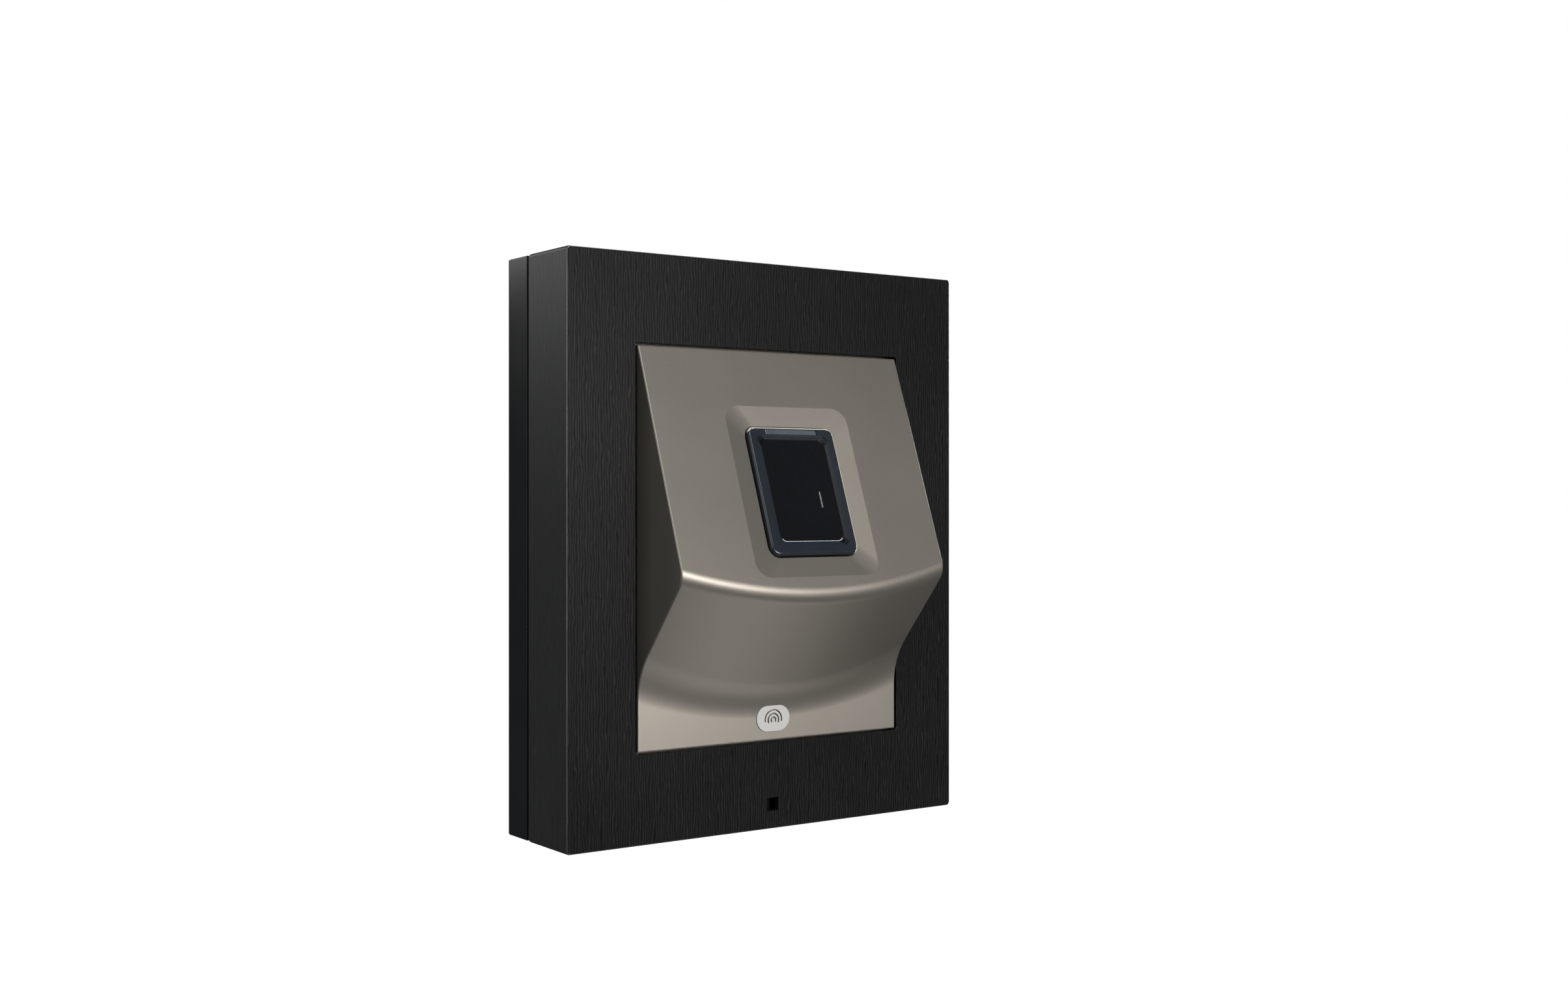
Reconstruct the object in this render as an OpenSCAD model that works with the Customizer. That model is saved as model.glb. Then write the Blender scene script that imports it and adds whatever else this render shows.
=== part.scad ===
// Fingerprint scanner terminal for a wall: a black metal front frame on a plastic back box,
// holding a cast reader module whose face stands out in a hump with a sloped finger sensor.
// X runs to the right, Y into the wall and Z up; the origin is the middle of the wall face.

/* [Body] */
// Width of the front frame
body_w = 107; // [104:1:114]
// Height of the front frame
body_h = 130; // [127:1:138]
// Depth from the wall to the face of the frame
body_d = 28; // [28:0.5:31]
// Depth of the front frame, from its face to its rear edge
frame_d = 18.2; // [18:0.1:18.4]
// Thickness of the frame's front plate
plate_t = 3; // [2.6:0.1:3]
// Thickness of the frame's side walls
wall_t = 3; // [3:0.1:3.2]
// Radius of the frame's four long corners
corner_r = 0.8; // [0.4:0.1:1.5]
// Side of the square port near the frame's lower edge
port_side = 3; // [2:0.1:3.2]
// Height of the port's centre above the lower edge
port_up = 5.6; // [5.5:0.1:6]

/* [Back box] */
// How far the back box stands in from the frame's outline
box_inset = 0.2; // [0.1:0.1:0.5]
// Open seam between the frame's rear edge and the back box
seam = 0.6; // [0.5:0.1:0.7]
// Thickness of the back box's rear wall
rear_t = 2.5; // [2:0.1:3]
// Sideways distance between the wall screw holes
screw_pitch_x = 72; // [60:1:80]
// Upright distance between the wall screw holes
screw_pitch_z = 96; // [90:1:100]
// Radius of the wall screw holes
screw_hole_r = 2.25; // [2:0.05:2.6]
// Radius of the hole that the cable passes through
cable_r = 4; // [3:0.5:5]

/* [Reader fascia] */
// Width of the opening in the frame
win_w = 73; // [73:1:74]
// Height of the opening in the frame
win_h = 90; // [90:1:91]
// Gap between the fascia and the opening, all round
win_gap = 0.45; // [0.3:0.05:0.6]
// Lean of the upper face away from upright, in degrees
slope_a = 20.3; // [19.5:0.1:21]
// Lean of the lower face away from upright, in degrees
slope_b = 40.6; // [40:0.1:42]
// Height of the ridge's edge at mid-width
ridge_z = -10.8; // [-12:0.1:-10]
// How much higher the ridge ends are than its middle
ridge_sag = 4.9; // [3:0.1:6]
// Rounding of the ridge
ridge_r = 4.2; // [3:0.1:5]
// Rounding between the lower face and the flat strip, at mid-width
foot_r = 13; // [11:0.5:14]
// Extra rounding there at the two sides
foot_r_side = 3.5; // [0:0.5:4]
// Thickness of the cast wall
cast_t = 2.2; // [1.8:0.1:2.4]

/* [Sensor] */
// Distance down the slope from the fascia's top edge to the sensor's centre
sensor_down = 33.95; // [33:0.05:36]
// Width of the shallow recess around the sensor
recess_w = 33.8; // [32:0.1:34]
// Length of the recess up the slope
recess_h = 40.5; // [38:0.1:41]
// Depth of the recess
recess_d = 0.7; // [0.5:0.1:0.8]
// Width of the bezel
bezel_w = 24; // [23.5:0.1:24.5]
// Length of the bezel up the slope
bezel_h = 30.6; // [29.5:0.1:31]
// Width of the finger window
window_w = 17.4; // [16:0.1:17.6]
// Length of the finger window up the slope
window_h = 24.1; // [22:0.1:24.5]

/* [Hidden] */
$fn = 48;
eps = 0.01;

// frame planes, seen from the wall outwards
face_y = -body_d;
plate_y = face_y + plate_t;
edge_y = face_y + frame_d;
box_front_y = edge_y + seam;
cavity_w = body_w - 2 * wall_t;
cavity_h = body_h - 2 * wall_t;
frame_black = "#2b2c2e";

// the frame swings on a line in the middle of its upper wall
hinge_z = body_h / 2 - wall_t / 2;
hinge_y = edge_y - wall_t / 2;
hinge_x = 38;
pin_r = 0.75;
pin_play = 0.05;
pin_l = 9;
lug_w = 5;
lug_play = 0.5;
lug_swing = 0.4;

// back box
box_w = body_w - 2 * box_inset;
box_h = body_h - 2 * box_inset;
box_corner_r = 0.3;
seal_t = 0.5;
seal_w = 1.6;
seal_inset = 0.1;
rebate_w = seal_inset + seal_w;
up_front_y = -15.5;
up_w = cavity_w - 1;
up_top_z = 61;
up_low_z = -61.5;
up_t = 1.5;
up_h = up_top_z - up_low_z;
up_mid_z = (up_top_z + up_low_z) / 2;
box_in_w = up_w - 2 * up_t;
box_in_h = up_h - 2 * up_t;
groove_w = 1.4;
groove_d = 1;
groove_in = 0.6;
groove_proud = 0.3;
cable_z = -26;
grommet_r = cable_r + 4;
grommet_rim = 2;
grommet_in = 1.8;

// lock screw in the frame's lower wall
lock_y = -12.8;
lock_r = 2;
lock_l = 2.8;
lock_play = 0.05;
lock_socket_r = 2.4;
lock_up = 0.3;
key_r = 1.2;
key_d = 1.6;

// port behind its square hole
port_z = -body_h / 2 + port_up;
port_cover = 4.8;
membrane_t = 0.5;
retainer_t = 1.2;
retainer_hole = 2.6;

// fascia and its flange behind the plate
cast_w = win_w - 2 * win_gap - 0.1;
cast_h = win_h - 2 * win_gap + 0.1;
cast_top = cast_h / 2;
flange_w = 80;
flange_h = 97;
flange_t = 2;
gasket_t = 0.8;
flange_y = plate_y + gasket_t;
flange_back_y = flange_y + flange_t;
stations = 24;
arc_steps = 8;
screw_x = 31.4;
screw_z = 40;
boss_r = 3;
boss_deep_top = 6;
boss_deep_low = 4.6;
pilot_r = 1.25;
pilot_d = 3.8;

// sensor stack, measured inwards from the sloped face
sensor_z = cast_top - sensor_down * cos(slope_a);
sensor_y = face_y - sensor_down * sin(slope_a);
recess_r = 2.8;
funnel_over = 0.5;
bezel_r = 2;
bezel_play = 0.1;
bezel_top = 0.35;
window_r = 1.6;
window_top = -0.1;
glass_t = 1.3;
glass_lip = 0.7;
ring_w = 27;
ring_h = 33.6;
ring_top = -3;
ring_t = 1.2;
sensor_back = ring_top - ring_t;
core_w = 22;
core_h = 25;
core_t = 6;
core_back = sensor_back - core_t;
sensor_pcb_t = 1.2;
sensor_pcb_back = core_back - sensor_pcb_t;
clamp_t = 1.5;
clamp_back = sensor_pcb_back - clamp_t;
clamp_x = 17.5;
clamp_w = 42;
clamp_h = 9;
clamp_boss_r = 2.8;
bar_w = 14.2;
bar_h = 1.4;
bar_up = 14.05;
led_t = 1.4;
led_w = 2.2;
led_pitch = 4.6;

// module housing and its board
tray_w = 71;
tray_h = 88;
tray_t = 1.5;
tray_back_y = -12.2;
tray_floor_y = tray_back_y - tray_t;
board_y = -19.6;
board_t = 1.6;
board_w = 60;
board_h = 70;
board_back_y = board_y + board_t;
board_x = 26;
board_z = 31;
post_r = 2.6;
socket_w = 9;
socket_h = 7;
socket_y = -10.8;
socket_x = 12;
socket_z = 20;
socket_gap = 0.3;
slot_w = 6.4;
slot_h = 3.4;
slot_d = 5;

// tamper switch, pressed by a post on the back box
switch_x = 22;
switch_z = -24;
switch_w = 6.4;
switch_back_y = -9.2;
button_r = 1.2;
button_play = 0.05;
button_tip_y = -6.3;
button_l = 8.4;
collar_r = 2;
collar_l = 1;
collar_room_r = 2.2;
collar_room_l = 3;
stud_r = 2.5;
stud_y = -6;

// bars that hold the module in the frame
clamp_bar_x = 42.25;
clamp_bar_w = 12.5;
clamp_bar_l = 62;
clamp_bar_t = 2;
bar_screw_x = 45.4;
bar_screw_z = 22;
bar_boss_r = 3;

// ribbon cable
ribbon_w = 9;
ribbon_t = 0.3;
ribbon_steps = 14;
plug_h = 3;
plug_t = 1.4;
plug_up = -11;
plug_z = -17;

// badge on the flat strip
badge_w = 9.2;
badge_h = 6;
badge_z = -39.6;
badge_y = -28.3;
badge_t = 0.6;

// ---------- helpers ----------

// Rectangle with round corners
module round_rect(w, h, r) {
  square([w - 2 * r, h], center = true);
  square([w, h - 2 * r], center = true);
  for (sx = [-1, 1], sz = [-1, 1])
    translate([sx * (w / 2 - r), sz * (h / 2 - r)]) circle(r);
}

// Outline drawn in X and Z, given depth from y0 to y1
module upright(y0, y1) {
  translate([0, y1, 0]) rotate([90, 0, 0]) linear_extrude(y1 - y0) children();
}

// Round-cornered block standing upright
module upright_block(w, h, r, y0, y1) {
  upright(y0, y1) round_rect(w, h, r);
}

// Rod along Y
module rod_y(x, z, r, y0, y1) {
  translate([x, y0, z]) rotate([-90, 0, 0]) cylinder(r = r, h = y1 - y0);
}

// Pan-head screw along Y: head from head_y, shank towards tip_y
module screw_y(x, z, head_r, shank_r, head_y, seat_y, tip_y) {
  rod_y(x, z, head_r, min(head_y, seat_y), max(head_y, seat_y));
  rod_y(x, z, shank_r, min(seat_y, tip_y), max(seat_y, tip_y));
}

// Places children on the sloped face: X across, Y up the slope, Z outwards
module on_slope() {
  translate([0, sensor_y, sensor_z]) rotate([90 - slope_a, 0, 0]) children();
}

// Round-cornered block on the slope between two depths
module slope_block(w, h, r, z0, z1) {
  translate([0, 0, z0]) linear_extrude(z1 - z0) round_rect(w, h, r);
}

// ---------- fascia outline ----------

function ridge_at(x) = ridge_z + ridge_sag * pow(2 * x / cast_w, 2);
function foot_r_at(x) = foot_r + foot_r_side * pow(2 * x / cast_w, 2);

// Outline at one x from top to low, as [outwards, up] pairs, moved inwards by t
function outline(x, t, top, low) =
  let (
    zv = ridge_at(x),
    pv = (cast_top - zv) * tan(slope_a),
    reach = ridge_r * tan((slope_a + slope_b) / 2),
    cp = pv - reach * sin(slope_a) - ridge_r * cos(slope_a),
    cz = zv + reach * cos(slope_a) - ridge_r * sin(slope_a),
    fr = foot_r_at(x),
    fz = zv - pv / tan(slope_b) - fr * tan(slope_b / 2),
    turn = slope_a + slope_b
  )
  concat(
    [[(cast_top - top) * tan(slope_a) - t / cos(slope_a), top]],
    [for (i = [0:arc_steps]) let (a = slope_a - turn * i / arc_steps)
      [cp + (ridge_r - t) * cos(a), cz + (ridge_r - t) * sin(a)]],
    [for (i = [0:arc_steps]) let (a = slope_b * (1 - i / arc_steps))
      [fr - (fr + t) * cos(a), fz + (fr + t) * sin(a)]],
    [[-t, low]]
  );

// One cross-section: the outline down the front, then straight up the plane at back_y
function section(x, t, top, low, back_y) =
  let (front = outline(x, t, top, low), n = len(front))
  concat(
    [for (p = front) [x, face_y - p[0], p[1]]],
    [for (k = [n - 1:-1:0]) [x, back_y, front[k][1]]]
  );

// Solid swept across the width through the sections
module hump(w, t, top, low, back_y) {
  rows = [for (i = [0:stations]) section(w * (i / stations - 0.5), t, top, low, back_y)];
  n = len(rows[0]);
  last = stations * n;
  first_end = [for (k = [0:n / 2 - 2]) [k, k + 1, n - 2 - k, n - 1 - k]];
  last_end = [for (f = first_end) [for (k = [3:-1:0]) last + f[k]]];
  sides = [for (i = [0:stations - 1]) for (k = [0:n - 1]) let (m = (k + 1) % n)
    each [[i * n + k, (i + 1) * n + k, (i + 1) * n + m], [i * n + k, (i + 1) * n + m, i * n + m]]];
  polyhedron(points = [for (r = rows) each r], faces = concat(first_end, last_end, sides), convexity = 8);
}

// ---------- back box and what stays on the wall ----------

module back_box() {
  color("#303133") difference() {
    union() {
      upright_block(box_w, box_h, box_corner_r, box_front_y, -seal_t);
      upright_block(box_w - 2 * rebate_w, box_h - 2 * rebate_w, corner_r, -2 * seal_t, 0);
      translate([0, 0, up_mid_z]) upright_block(up_w, up_h, corner_r, up_front_y, box_front_y + eps);
      for (s = [-1, 1]) hinge_lug(s * hinge_x);
    }
    translate([0, 0, up_mid_z]) upright_block(box_in_w, box_in_h, corner_r, up_front_y - 1, -rear_t);
    box_groove(eps);
    for (sx = [-1, 1], sz = [-1, 1])
      rod_y(sx * screw_pitch_x / 2, sz * screw_pitch_z / 2, screw_hole_r, -rear_t - 1, 1);
    rod_y(0, cable_z, grommet_r, -rear_t - 1, 1);
    translate([0, lock_y, up_low_z - 1]) cylinder(r = lock_socket_r, h = up_t + 2);
    for (s = [-1, 1]) hinge_pin(s * hinge_x, pin_r);
  }
  color("#303133") rod_y(switch_x, switch_z, stud_r, stud_y, -rear_t);
}

// Ear that carries one hinge pin above the box's front edge
module hinge_lug(x) {
  translate([x - lug_w / 2, hinge_y, hinge_z]) rotate([0, 90, 0]) cylinder(r = wall_t / 2, h = lug_w);
  translate([x - lug_w / 2, hinge_y, hinge_z - wall_t / 2])
    cube([lug_w, box_front_y - hinge_y + 2, box_h / 2 - hinge_z + wall_t / 2]);
}

module hinge_pin(x, r) {
  translate([x - pin_l / 2, hinge_y, hinge_z]) rotate([0, 90, 0]) cylinder(r = r, h = pin_l);
}

module box_groove(over) {
  upright(box_front_y - over, box_front_y + groove_d) difference() {
    round_rect(box_w - 2 * groove_in, box_h - 2 * groove_in, corner_r);
    round_rect(box_w - 2 * (groove_in + groove_w), box_h - 2 * (groove_in + groove_w), corner_r);
  }
}

module wall_seal() {
  w = box_w - 2 * seal_inset;
  h = box_h - 2 * seal_inset;
  color("#1a1a1b") upright(-seal_t, 0) difference() {
    round_rect(w, h, box_corner_r);
    round_rect(w - 2 * seal_w, h - 2 * seal_w, corner_r);
  }
}

module box_seal() {
  color("#161617") difference() {
    box_groove(groove_proud);
    for (s = [-1, 1])
      translate([s * hinge_x, hinge_y, hinge_z]) cube([lug_w + 1, 8, 8], center = true);
  }
}

module cable_grommet() {
  color("#1c1c1c") difference() {
    union() {
      rod_y(0, cable_z, grommet_r, -rear_t, 0);
      rod_y(0, cable_z, grommet_r + grommet_rim, -rear_t - grommet_in, -rear_t);
    }
    rod_y(0, cable_z, cable_r, -rear_t - grommet_in - 1, 1);
  }
}

module hinge_pins() {
  color("#b9b9b6") for (s = [-1, 1]) hinge_pin(s * hinge_x, pin_r);
}

// ---------- front frame ----------

module front_frame() {
  color(frame_black) difference() {
    union() {
      difference() {
        upright_block(body_w, body_h, corner_r, face_y, edge_y);
        upright_block(cavity_w, cavity_h, corner_r, plate_y, edge_y + 1);
      }
      for (sx = [-1, 1], sz = [-1, 1])
        rod_y(sx * bar_screw_x, sz * bar_screw_z, bar_boss_r, plate_y - eps, flange_back_y);
    }
    upright_block(win_w, win_h, corner_r, face_y - 1, plate_y + 1);
    translate([0, face_y + plate_t / 2, port_z]) cube([port_side, plate_t + 2, port_side], center = true);
    for (sx = [-1, 1], sz = [-1, 1])
      rod_y(sx * bar_screw_x, sz * bar_screw_z, pilot_r, flange_back_y - pilot_d, flange_back_y + 1);
    translate([0, lock_y, -body_h / 2 - 1]) cylinder(r = lock_r + lock_play, h = wall_t + 2);
    swing_round();
    for (s = [-1, 1]) {
      translate([s * hinge_x, hinge_y, hinge_z]) lug_notch();
      hinge_pin(s * hinge_x, pin_r + pin_play);
    }
  }
}

// What is cut from the upper rear edge so that it turns about the hinge line
module swing_round() {
  r = wall_t / 2;
  difference() {
    translate([-body_w, hinge_y, hinge_z]) cube([2 * body_w, r + 1, r + 1]);
    translate([-body_w, hinge_y, hinge_z]) rotate([0, 90, 0]) cylinder(r = r, h = 2 * body_w);
  }
}

// Room for one hinge ear, cut through the upper wall from behind
module lug_notch() {
  r = wall_t / 2 + lug_swing;
  w = lug_w + 2 * lug_play;
  translate([-w / 2, -r, -wall_t]) cube([w, r + wall_t, 2 * wall_t]);
}

module port_membrane() {
  color("#0d0d0d") translate([0, plate_y + membrane_t / 2, port_z])
    cube([port_cover, membrane_t, port_cover], center = true);
}

module port_retainer() {
  y = plate_y + membrane_t;
  color("#38393b") translate([0, 0, port_z]) upright(y, y + retainer_t) difference() {
    square(port_cover, center = true);
    square(retainer_hole, center = true);
  }
}

// ---------- reader fascia ----------

module fascia_seal() {
  color("#151516") upright(plate_y, flange_y) difference() {
    round_rect(flange_w, flange_h, corner_r);
    round_rect(win_w, win_h, corner_r);
  }
}

module reader_fascia() {
  inner_top = cast_top - cast_t;
  color("#8f8a80") difference() {
    union() {
      difference() {
        union() {
          hump(cast_w, 0, cast_top, -cast_top, flange_back_y);
          upright_block(flange_w, flange_h, corner_r, flange_y, flange_back_y);
        }
        hump(cast_w - 2 * cast_t, cast_t, inner_top, -inner_top, flange_back_y + 1);
      }
      for (sx = [-1, 1]) {
        rod_y(sx * screw_x, screw_z, boss_r, flange_back_y - boss_deep_top, flange_back_y);
        rod_y(sx * screw_x, -screw_z, boss_r, flange_back_y - boss_deep_low, flange_back_y);
      }
      for (s = [-1, 1]) on_slope()
        translate([s * clamp_x, 0, sensor_pcb_back]) cylinder(r = clamp_boss_r, h = -sensor_pcb_back - cast_t / 2);
    }
    for (sx = [-1, 1], sz = [-1, 1])
      rod_y(sx * screw_x, sz * screw_z, pilot_r, flange_back_y - pilot_d, flange_back_y + 1);
    on_slope() {
      recess();
      slope_block(bezel_w, bezel_h, bezel_r, -2 * cast_t, 1);
      for (s = [-1, 1])
        translate([s * clamp_x, 0, sensor_pcb_back - 1]) cylinder(r = pilot_r - 0.2, h = pilot_d + 1);
    }
    badge_shape(badge_y - 1);
  }
}

// Shallow funnel that leads the finger to the sensor, run on a little inside the bezel's hole
module recess() {
  run_on = 1 + 2 * funnel_over / (recess_w - bezel_w);
  w = bezel_w - 2 * funnel_over;
  h = bezel_h - 2 * funnel_over;
  hull() {
    translate([0, 0, -recess_d * run_on]) linear_extrude(eps) round_rect(w, h, bezel_r, $fn = 32);
    linear_extrude(recess_d) round_rect(recess_w, recess_h, recess_r, $fn = 32);
  }
}

// Oval plate, one end of its depth given
module badge_shape(y0) {
  upright(y0, badge_y + badge_t) translate([0, badge_z]) round_rect(badge_w, badge_h, badge_h / 2 - eps);
}

module badge() {
  color("#c4c2bd") badge_shape(badge_y);
}

// ---------- sensor ----------

module sensor_seal() {
  color("#141414") on_slope() difference() {
    slope_block(ring_w, ring_h, bezel_r, ring_top, -cast_t);
    slope_block(bezel_w, bezel_h, bezel_r, ring_top - 1, 0);
  }
}

module sensor_bezel() {
  w = bezel_w - 2 * bezel_play;
  h = bezel_h - 2 * bezel_play;
  color("#20262e") on_slope() difference() {
    union() {
      slope_block(w, h, bezel_r, ring_top - eps, bezel_top);
      slope_block(ring_w, ring_h, bezel_r, sensor_back, ring_top);
    }
    hull() {
      translate([0, 0, window_top]) linear_extrude(eps) round_rect(window_w, window_h, window_r, $fn = 32);
      translate([0, 0, bezel_top]) linear_extrude(1) round_rect(w - 1.2, h - 1.2, window_r, $fn = 32);
    }
    slope_block(window_w, window_h, window_r, sensor_back - 1, window_top + 2 * eps);
    glass_room();
    light_slot(sensor_back - 1, 1, 0);
  }
}

// Pocket for the glass, open towards the inside
module glass_room() {
  slope_block(window_w + 2 * glass_lip, window_h + 2 * glass_lip, window_r, sensor_back - 1, window_top - 0.1);
}

module light_slot(z0, z1, less) {
  translate([0, bar_up, z0]) linear_extrude(z1 - z0) square([bar_w - less, bar_h - less], center = true);
}

module sensor_window() {
  top = window_top - 0.1;
  color("#0e1114") on_slope()
    slope_block(window_w + 2 * glass_lip - 0.1, window_h + 2 * glass_lip - 0.1, window_r, top - glass_t, top);
}

module light_bar() {
  color("#5a6068") on_slope() light_slot(core_back + led_t, bezel_top - 0.1, 0.1);
}

module sensor_body() {
  top = window_top - 0.1 - glass_t;
  color("#1d1f22") on_slope() {
    slope_block(core_w, core_h, window_r, core_back, sensor_back);
    slope_block(window_w, window_h, window_r, sensor_back - eps, top);
  }
}

module sensor_board() {
  color("#1f5a38") on_slope() slope_block(bezel_w, bezel_h, 1, sensor_pcb_back, core_back);
}

module status_leds() {
  color("#e9e4cf") on_slope() for (i = [-1:1])
    translate([i * led_pitch, bar_up, core_back + led_t / 2]) cube([led_w, bar_h, led_t], center = true);
}

module sensor_clamp() {
  color("#9a9c9e") on_slope() difference() {
    slope_block(clamp_w, clamp_h, 2, clamp_back, sensor_pcb_back);
    for (s = [-1, 1]) translate([s * clamp_x, 0, clamp_back - 1]) cylinder(r = pilot_r + 0.1, h = clamp_t + 2);
  }
}

module sensor_screws() {
  color("#b9b9b6") on_slope() for (s = [-1, 1]) translate([s * clamp_x, 0, 0]) {
    translate([0, 0, clamp_back - 1.4]) cylinder(r = 2.2, h = 1.4);
    translate([0, 0, clamp_back]) cylinder(r = pilot_r - 0.25, h = clamp_t + pilot_d - 0.4);
  }
}

// ---------- ribbon cable ----------

// A point on the slope as [y, z] of the body
function slope_point(up, out) = [
  sensor_y + up * sin(slope_a) - out * cos(slope_a),
  sensor_z + up * cos(slope_a) + out * sin(slope_a)
];
function curve(a, b, c, d, t) =
  pow(1 - t, 3) * a + 3 * t * pow(1 - t, 2) * b + 3 * t * t * (1 - t) * c + pow(t, 3) * d;
ribbon_start = slope_point(plug_up, sensor_pcb_back - plug_t);
ribbon_end = [board_y - plug_t, plug_z];
ribbon_lead = slope_point(plug_up, sensor_pcb_back - plug_t - 6);
function ribbon_mid(t) =
  curve(ribbon_start, ribbon_lead, ribbon_end - [7, 0], ribbon_end, t);
function ribbon_side(t, s) =
  let (d = ribbon_mid(t + eps) - ribbon_mid(t - eps))
  ribbon_mid(t) + s * ribbon_t / 2 * [-d[1], d[0]] / norm(d);

module ribbon_sockets() {
  color("#e4dfcf") {
    on_slope() translate([0, plug_up, sensor_pcb_back - plug_t / 2])
      cube([ribbon_w + 3, plug_h, plug_t], center = true);
    translate([0, board_y - plug_t / 2, plug_z]) cube([ribbon_w + 3, plug_t, plug_h], center = true);
  }
}

module ribbon_cable() {
  path = [for (i = [0:ribbon_steps]) i / ribbon_steps];
  color("#d9cfae") translate([-ribbon_w / 2, 0, 0]) rotate([90, 0, 90]) linear_extrude(ribbon_w)
    polygon(concat(
      [for (t = path) ribbon_side(t, 1)],
      [for (i = [ribbon_steps:-1:0]) ribbon_side(path[i], -1)]
    ));
}

// ---------- module housing ----------

module module_tray() {
  color("#2a2b2d") difference() {
    union() {
      difference() {
        upright_block(tray_w, tray_h, 2, flange_back_y, tray_back_y);
        upright_block(tray_w - 2 * tray_t, tray_h - 2 * tray_t, 1, flange_back_y - 1, tray_floor_y);
      }
      for (sx = [-1, 1], sz = [-1, 1]) {
        rod_y(sx * screw_x, sz * screw_z, boss_r, flange_back_y, tray_floor_y + eps);
        rod_y(sx * board_x, sz * board_z, post_r, board_back_y, tray_floor_y + eps);
      }
    }
    for (sx = [-1, 1], sz = [-1, 1]) {
      rod_y(sx * screw_x, sz * screw_z, pilot_r + 0.15, flange_back_y - 1, tray_back_y + 1);
      rod_y(sx * board_x, sz * board_z, pilot_r - 0.15, board_back_y - 1, tray_floor_y - 0.5);
    }
    for (s = [-1, 1]) translate([s * socket_x, tray_floor_y + tray_t / 2, socket_z])
      cube([socket_w + 2 * socket_gap, tray_t + 1, socket_h + 2 * socket_gap], center = true);
    translate([switch_x, tray_floor_y + tray_t / 2, switch_z])
      cube([switch_w + 2 * socket_gap, tray_t + 1, switch_w + 2 * socket_gap], center = true);
  }
}

module main_board() {
  color("#1f5a38") difference() {
    upright_block(board_w, board_h, 1, board_y, board_back_y);
    for (sx = [-1, 1], sz = [-1, 1]) rod_y(sx * board_x, sz * board_z, pilot_r, board_y - 1, board_back_y + 1);
  }
}

module chip(x, z, w, h, t) {
  translate([x, board_y - t / 2, z]) cube([w, t, h], center = true);
}

module board_chips() {
  color("#17181a") {
    chip(-14, 6, 13, 13, 1.4);
    chip(8, 4, 8, 6, 1.1);
    chip(16, 24, 6, 5, 1.6);
    chip(-12, 24, 9, 7, 1.2);
    chip(-17, -14, 7, 7, 2.6);
  }
}

module board_screws() {
  color("#b9b9b6") for (sx = [-1, 1], sz = [-1, 1])
    screw_y(sx * board_x, sz * board_z, 2.1, 1, board_y - 1.3, board_y, tray_floor_y - 1);
}

module bus_sockets() {
  color("#e2ddcc") for (s = [-1, 1]) difference() {
    translate([s * socket_x - socket_w / 2, board_back_y, socket_z - socket_h / 2])
      cube([socket_w, socket_y - board_back_y, socket_h]);
    translate([s * socket_x, socket_y, socket_z]) cube([slot_w, 2 * slot_d, slot_h], center = true);
  }
}

module tamper_switch() {
  room_y = button_tip_y - button_l - 0.2;
  color("#3a1416") difference() {
    translate([switch_x - switch_w / 2, board_back_y, switch_z - switch_w / 2])
      cube([switch_w, switch_back_y - board_back_y, switch_w]);
    rod_y(switch_x, switch_z, button_r + button_play, room_y, switch_back_y + 1);
    rod_y(switch_x, switch_z, collar_room_r, room_y, room_y + collar_room_l + 0.2);
  }
}

module module_screws() {
  color("#b9b9b6") for (sx = [-1, 1], sz = [-1, 1])
    screw_y(sx * screw_x, sz * screw_z, 2.6, 1.2, tray_back_y + 1.5, tray_back_y, flange_back_y - pilot_d + 0.4);
}

module clamp_bars() {
  color("#9a9c9e") difference() {
    for (s = [-1, 1]) translate([s * clamp_bar_x, 0, 0])
      upright_block(clamp_bar_w, clamp_bar_l, 2, flange_back_y, flange_back_y + clamp_bar_t);
    for (sx = [-1, 1], sz = [-1, 1])
      rod_y(sx * bar_screw_x, sz * bar_screw_z, pilot_r + 0.25, flange_back_y - 1, flange_back_y + clamp_bar_t + 1);
  }
}

module clamp_screws() {
  seat = flange_back_y + clamp_bar_t;
  color("#b9b9b6") for (sx = [-1, 1], sz = [-1, 1])
    screw_y(sx * bar_screw_x, sz * bar_screw_z, 2.7, 1.2, seat + 1.8, seat, flange_back_y - pilot_d + 0.4);
}

// ---------- moving pieces ----------

module tamper_button() {
  base = button_tip_y - button_l;
  color("#d8d4c8") {
    rod_y(switch_x, switch_z, button_r, base, button_tip_y);
    rod_y(switch_x, switch_z, collar_r, base, base + collar_l);
  }
}

module lock_screw() {
  z0 = -body_h / 2 + lock_up;
  color("#8d8d8a") translate([0, lock_y, z0]) difference() {
    cylinder(r = lock_r, h = lock_l);
    translate([0, 0, -1]) linear_extrude(key_d + 1) circle(key_r, $fn = 6);
  }
}

back_box();
wall_seal();
box_seal();
cable_grommet();
hinge_pins();
front_frame();
port_membrane();
port_retainer();
fascia_seal();
reader_fascia();
badge();
sensor_seal();
sensor_bezel();
sensor_window();
light_bar();
sensor_body();
sensor_board();
status_leds();
sensor_clamp();
sensor_screws();
ribbon_sockets();
ribbon_cable();
module_tray();
main_board();
board_chips();
board_screws();
bus_sockets();
tamper_switch();
module_screws();
clamp_bars();
clamp_screws();
tamper_button();
lock_screw();
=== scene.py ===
"""Fingerprint scanner terminal for a wall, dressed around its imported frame.

Each piece is shaped on a bench in millimetres, with x to the right, y up and z out from the wall,
and is then put in its place in the row frame, in metres.
"""
import logging
import math
from contextlib import contextmanager
from dataclasses import dataclass, replace
from enum import Enum
from typing import Callable, Iterator, Sequence, Union

import bmesh
import bpy
from mathutils import Matrix, Vector


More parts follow.
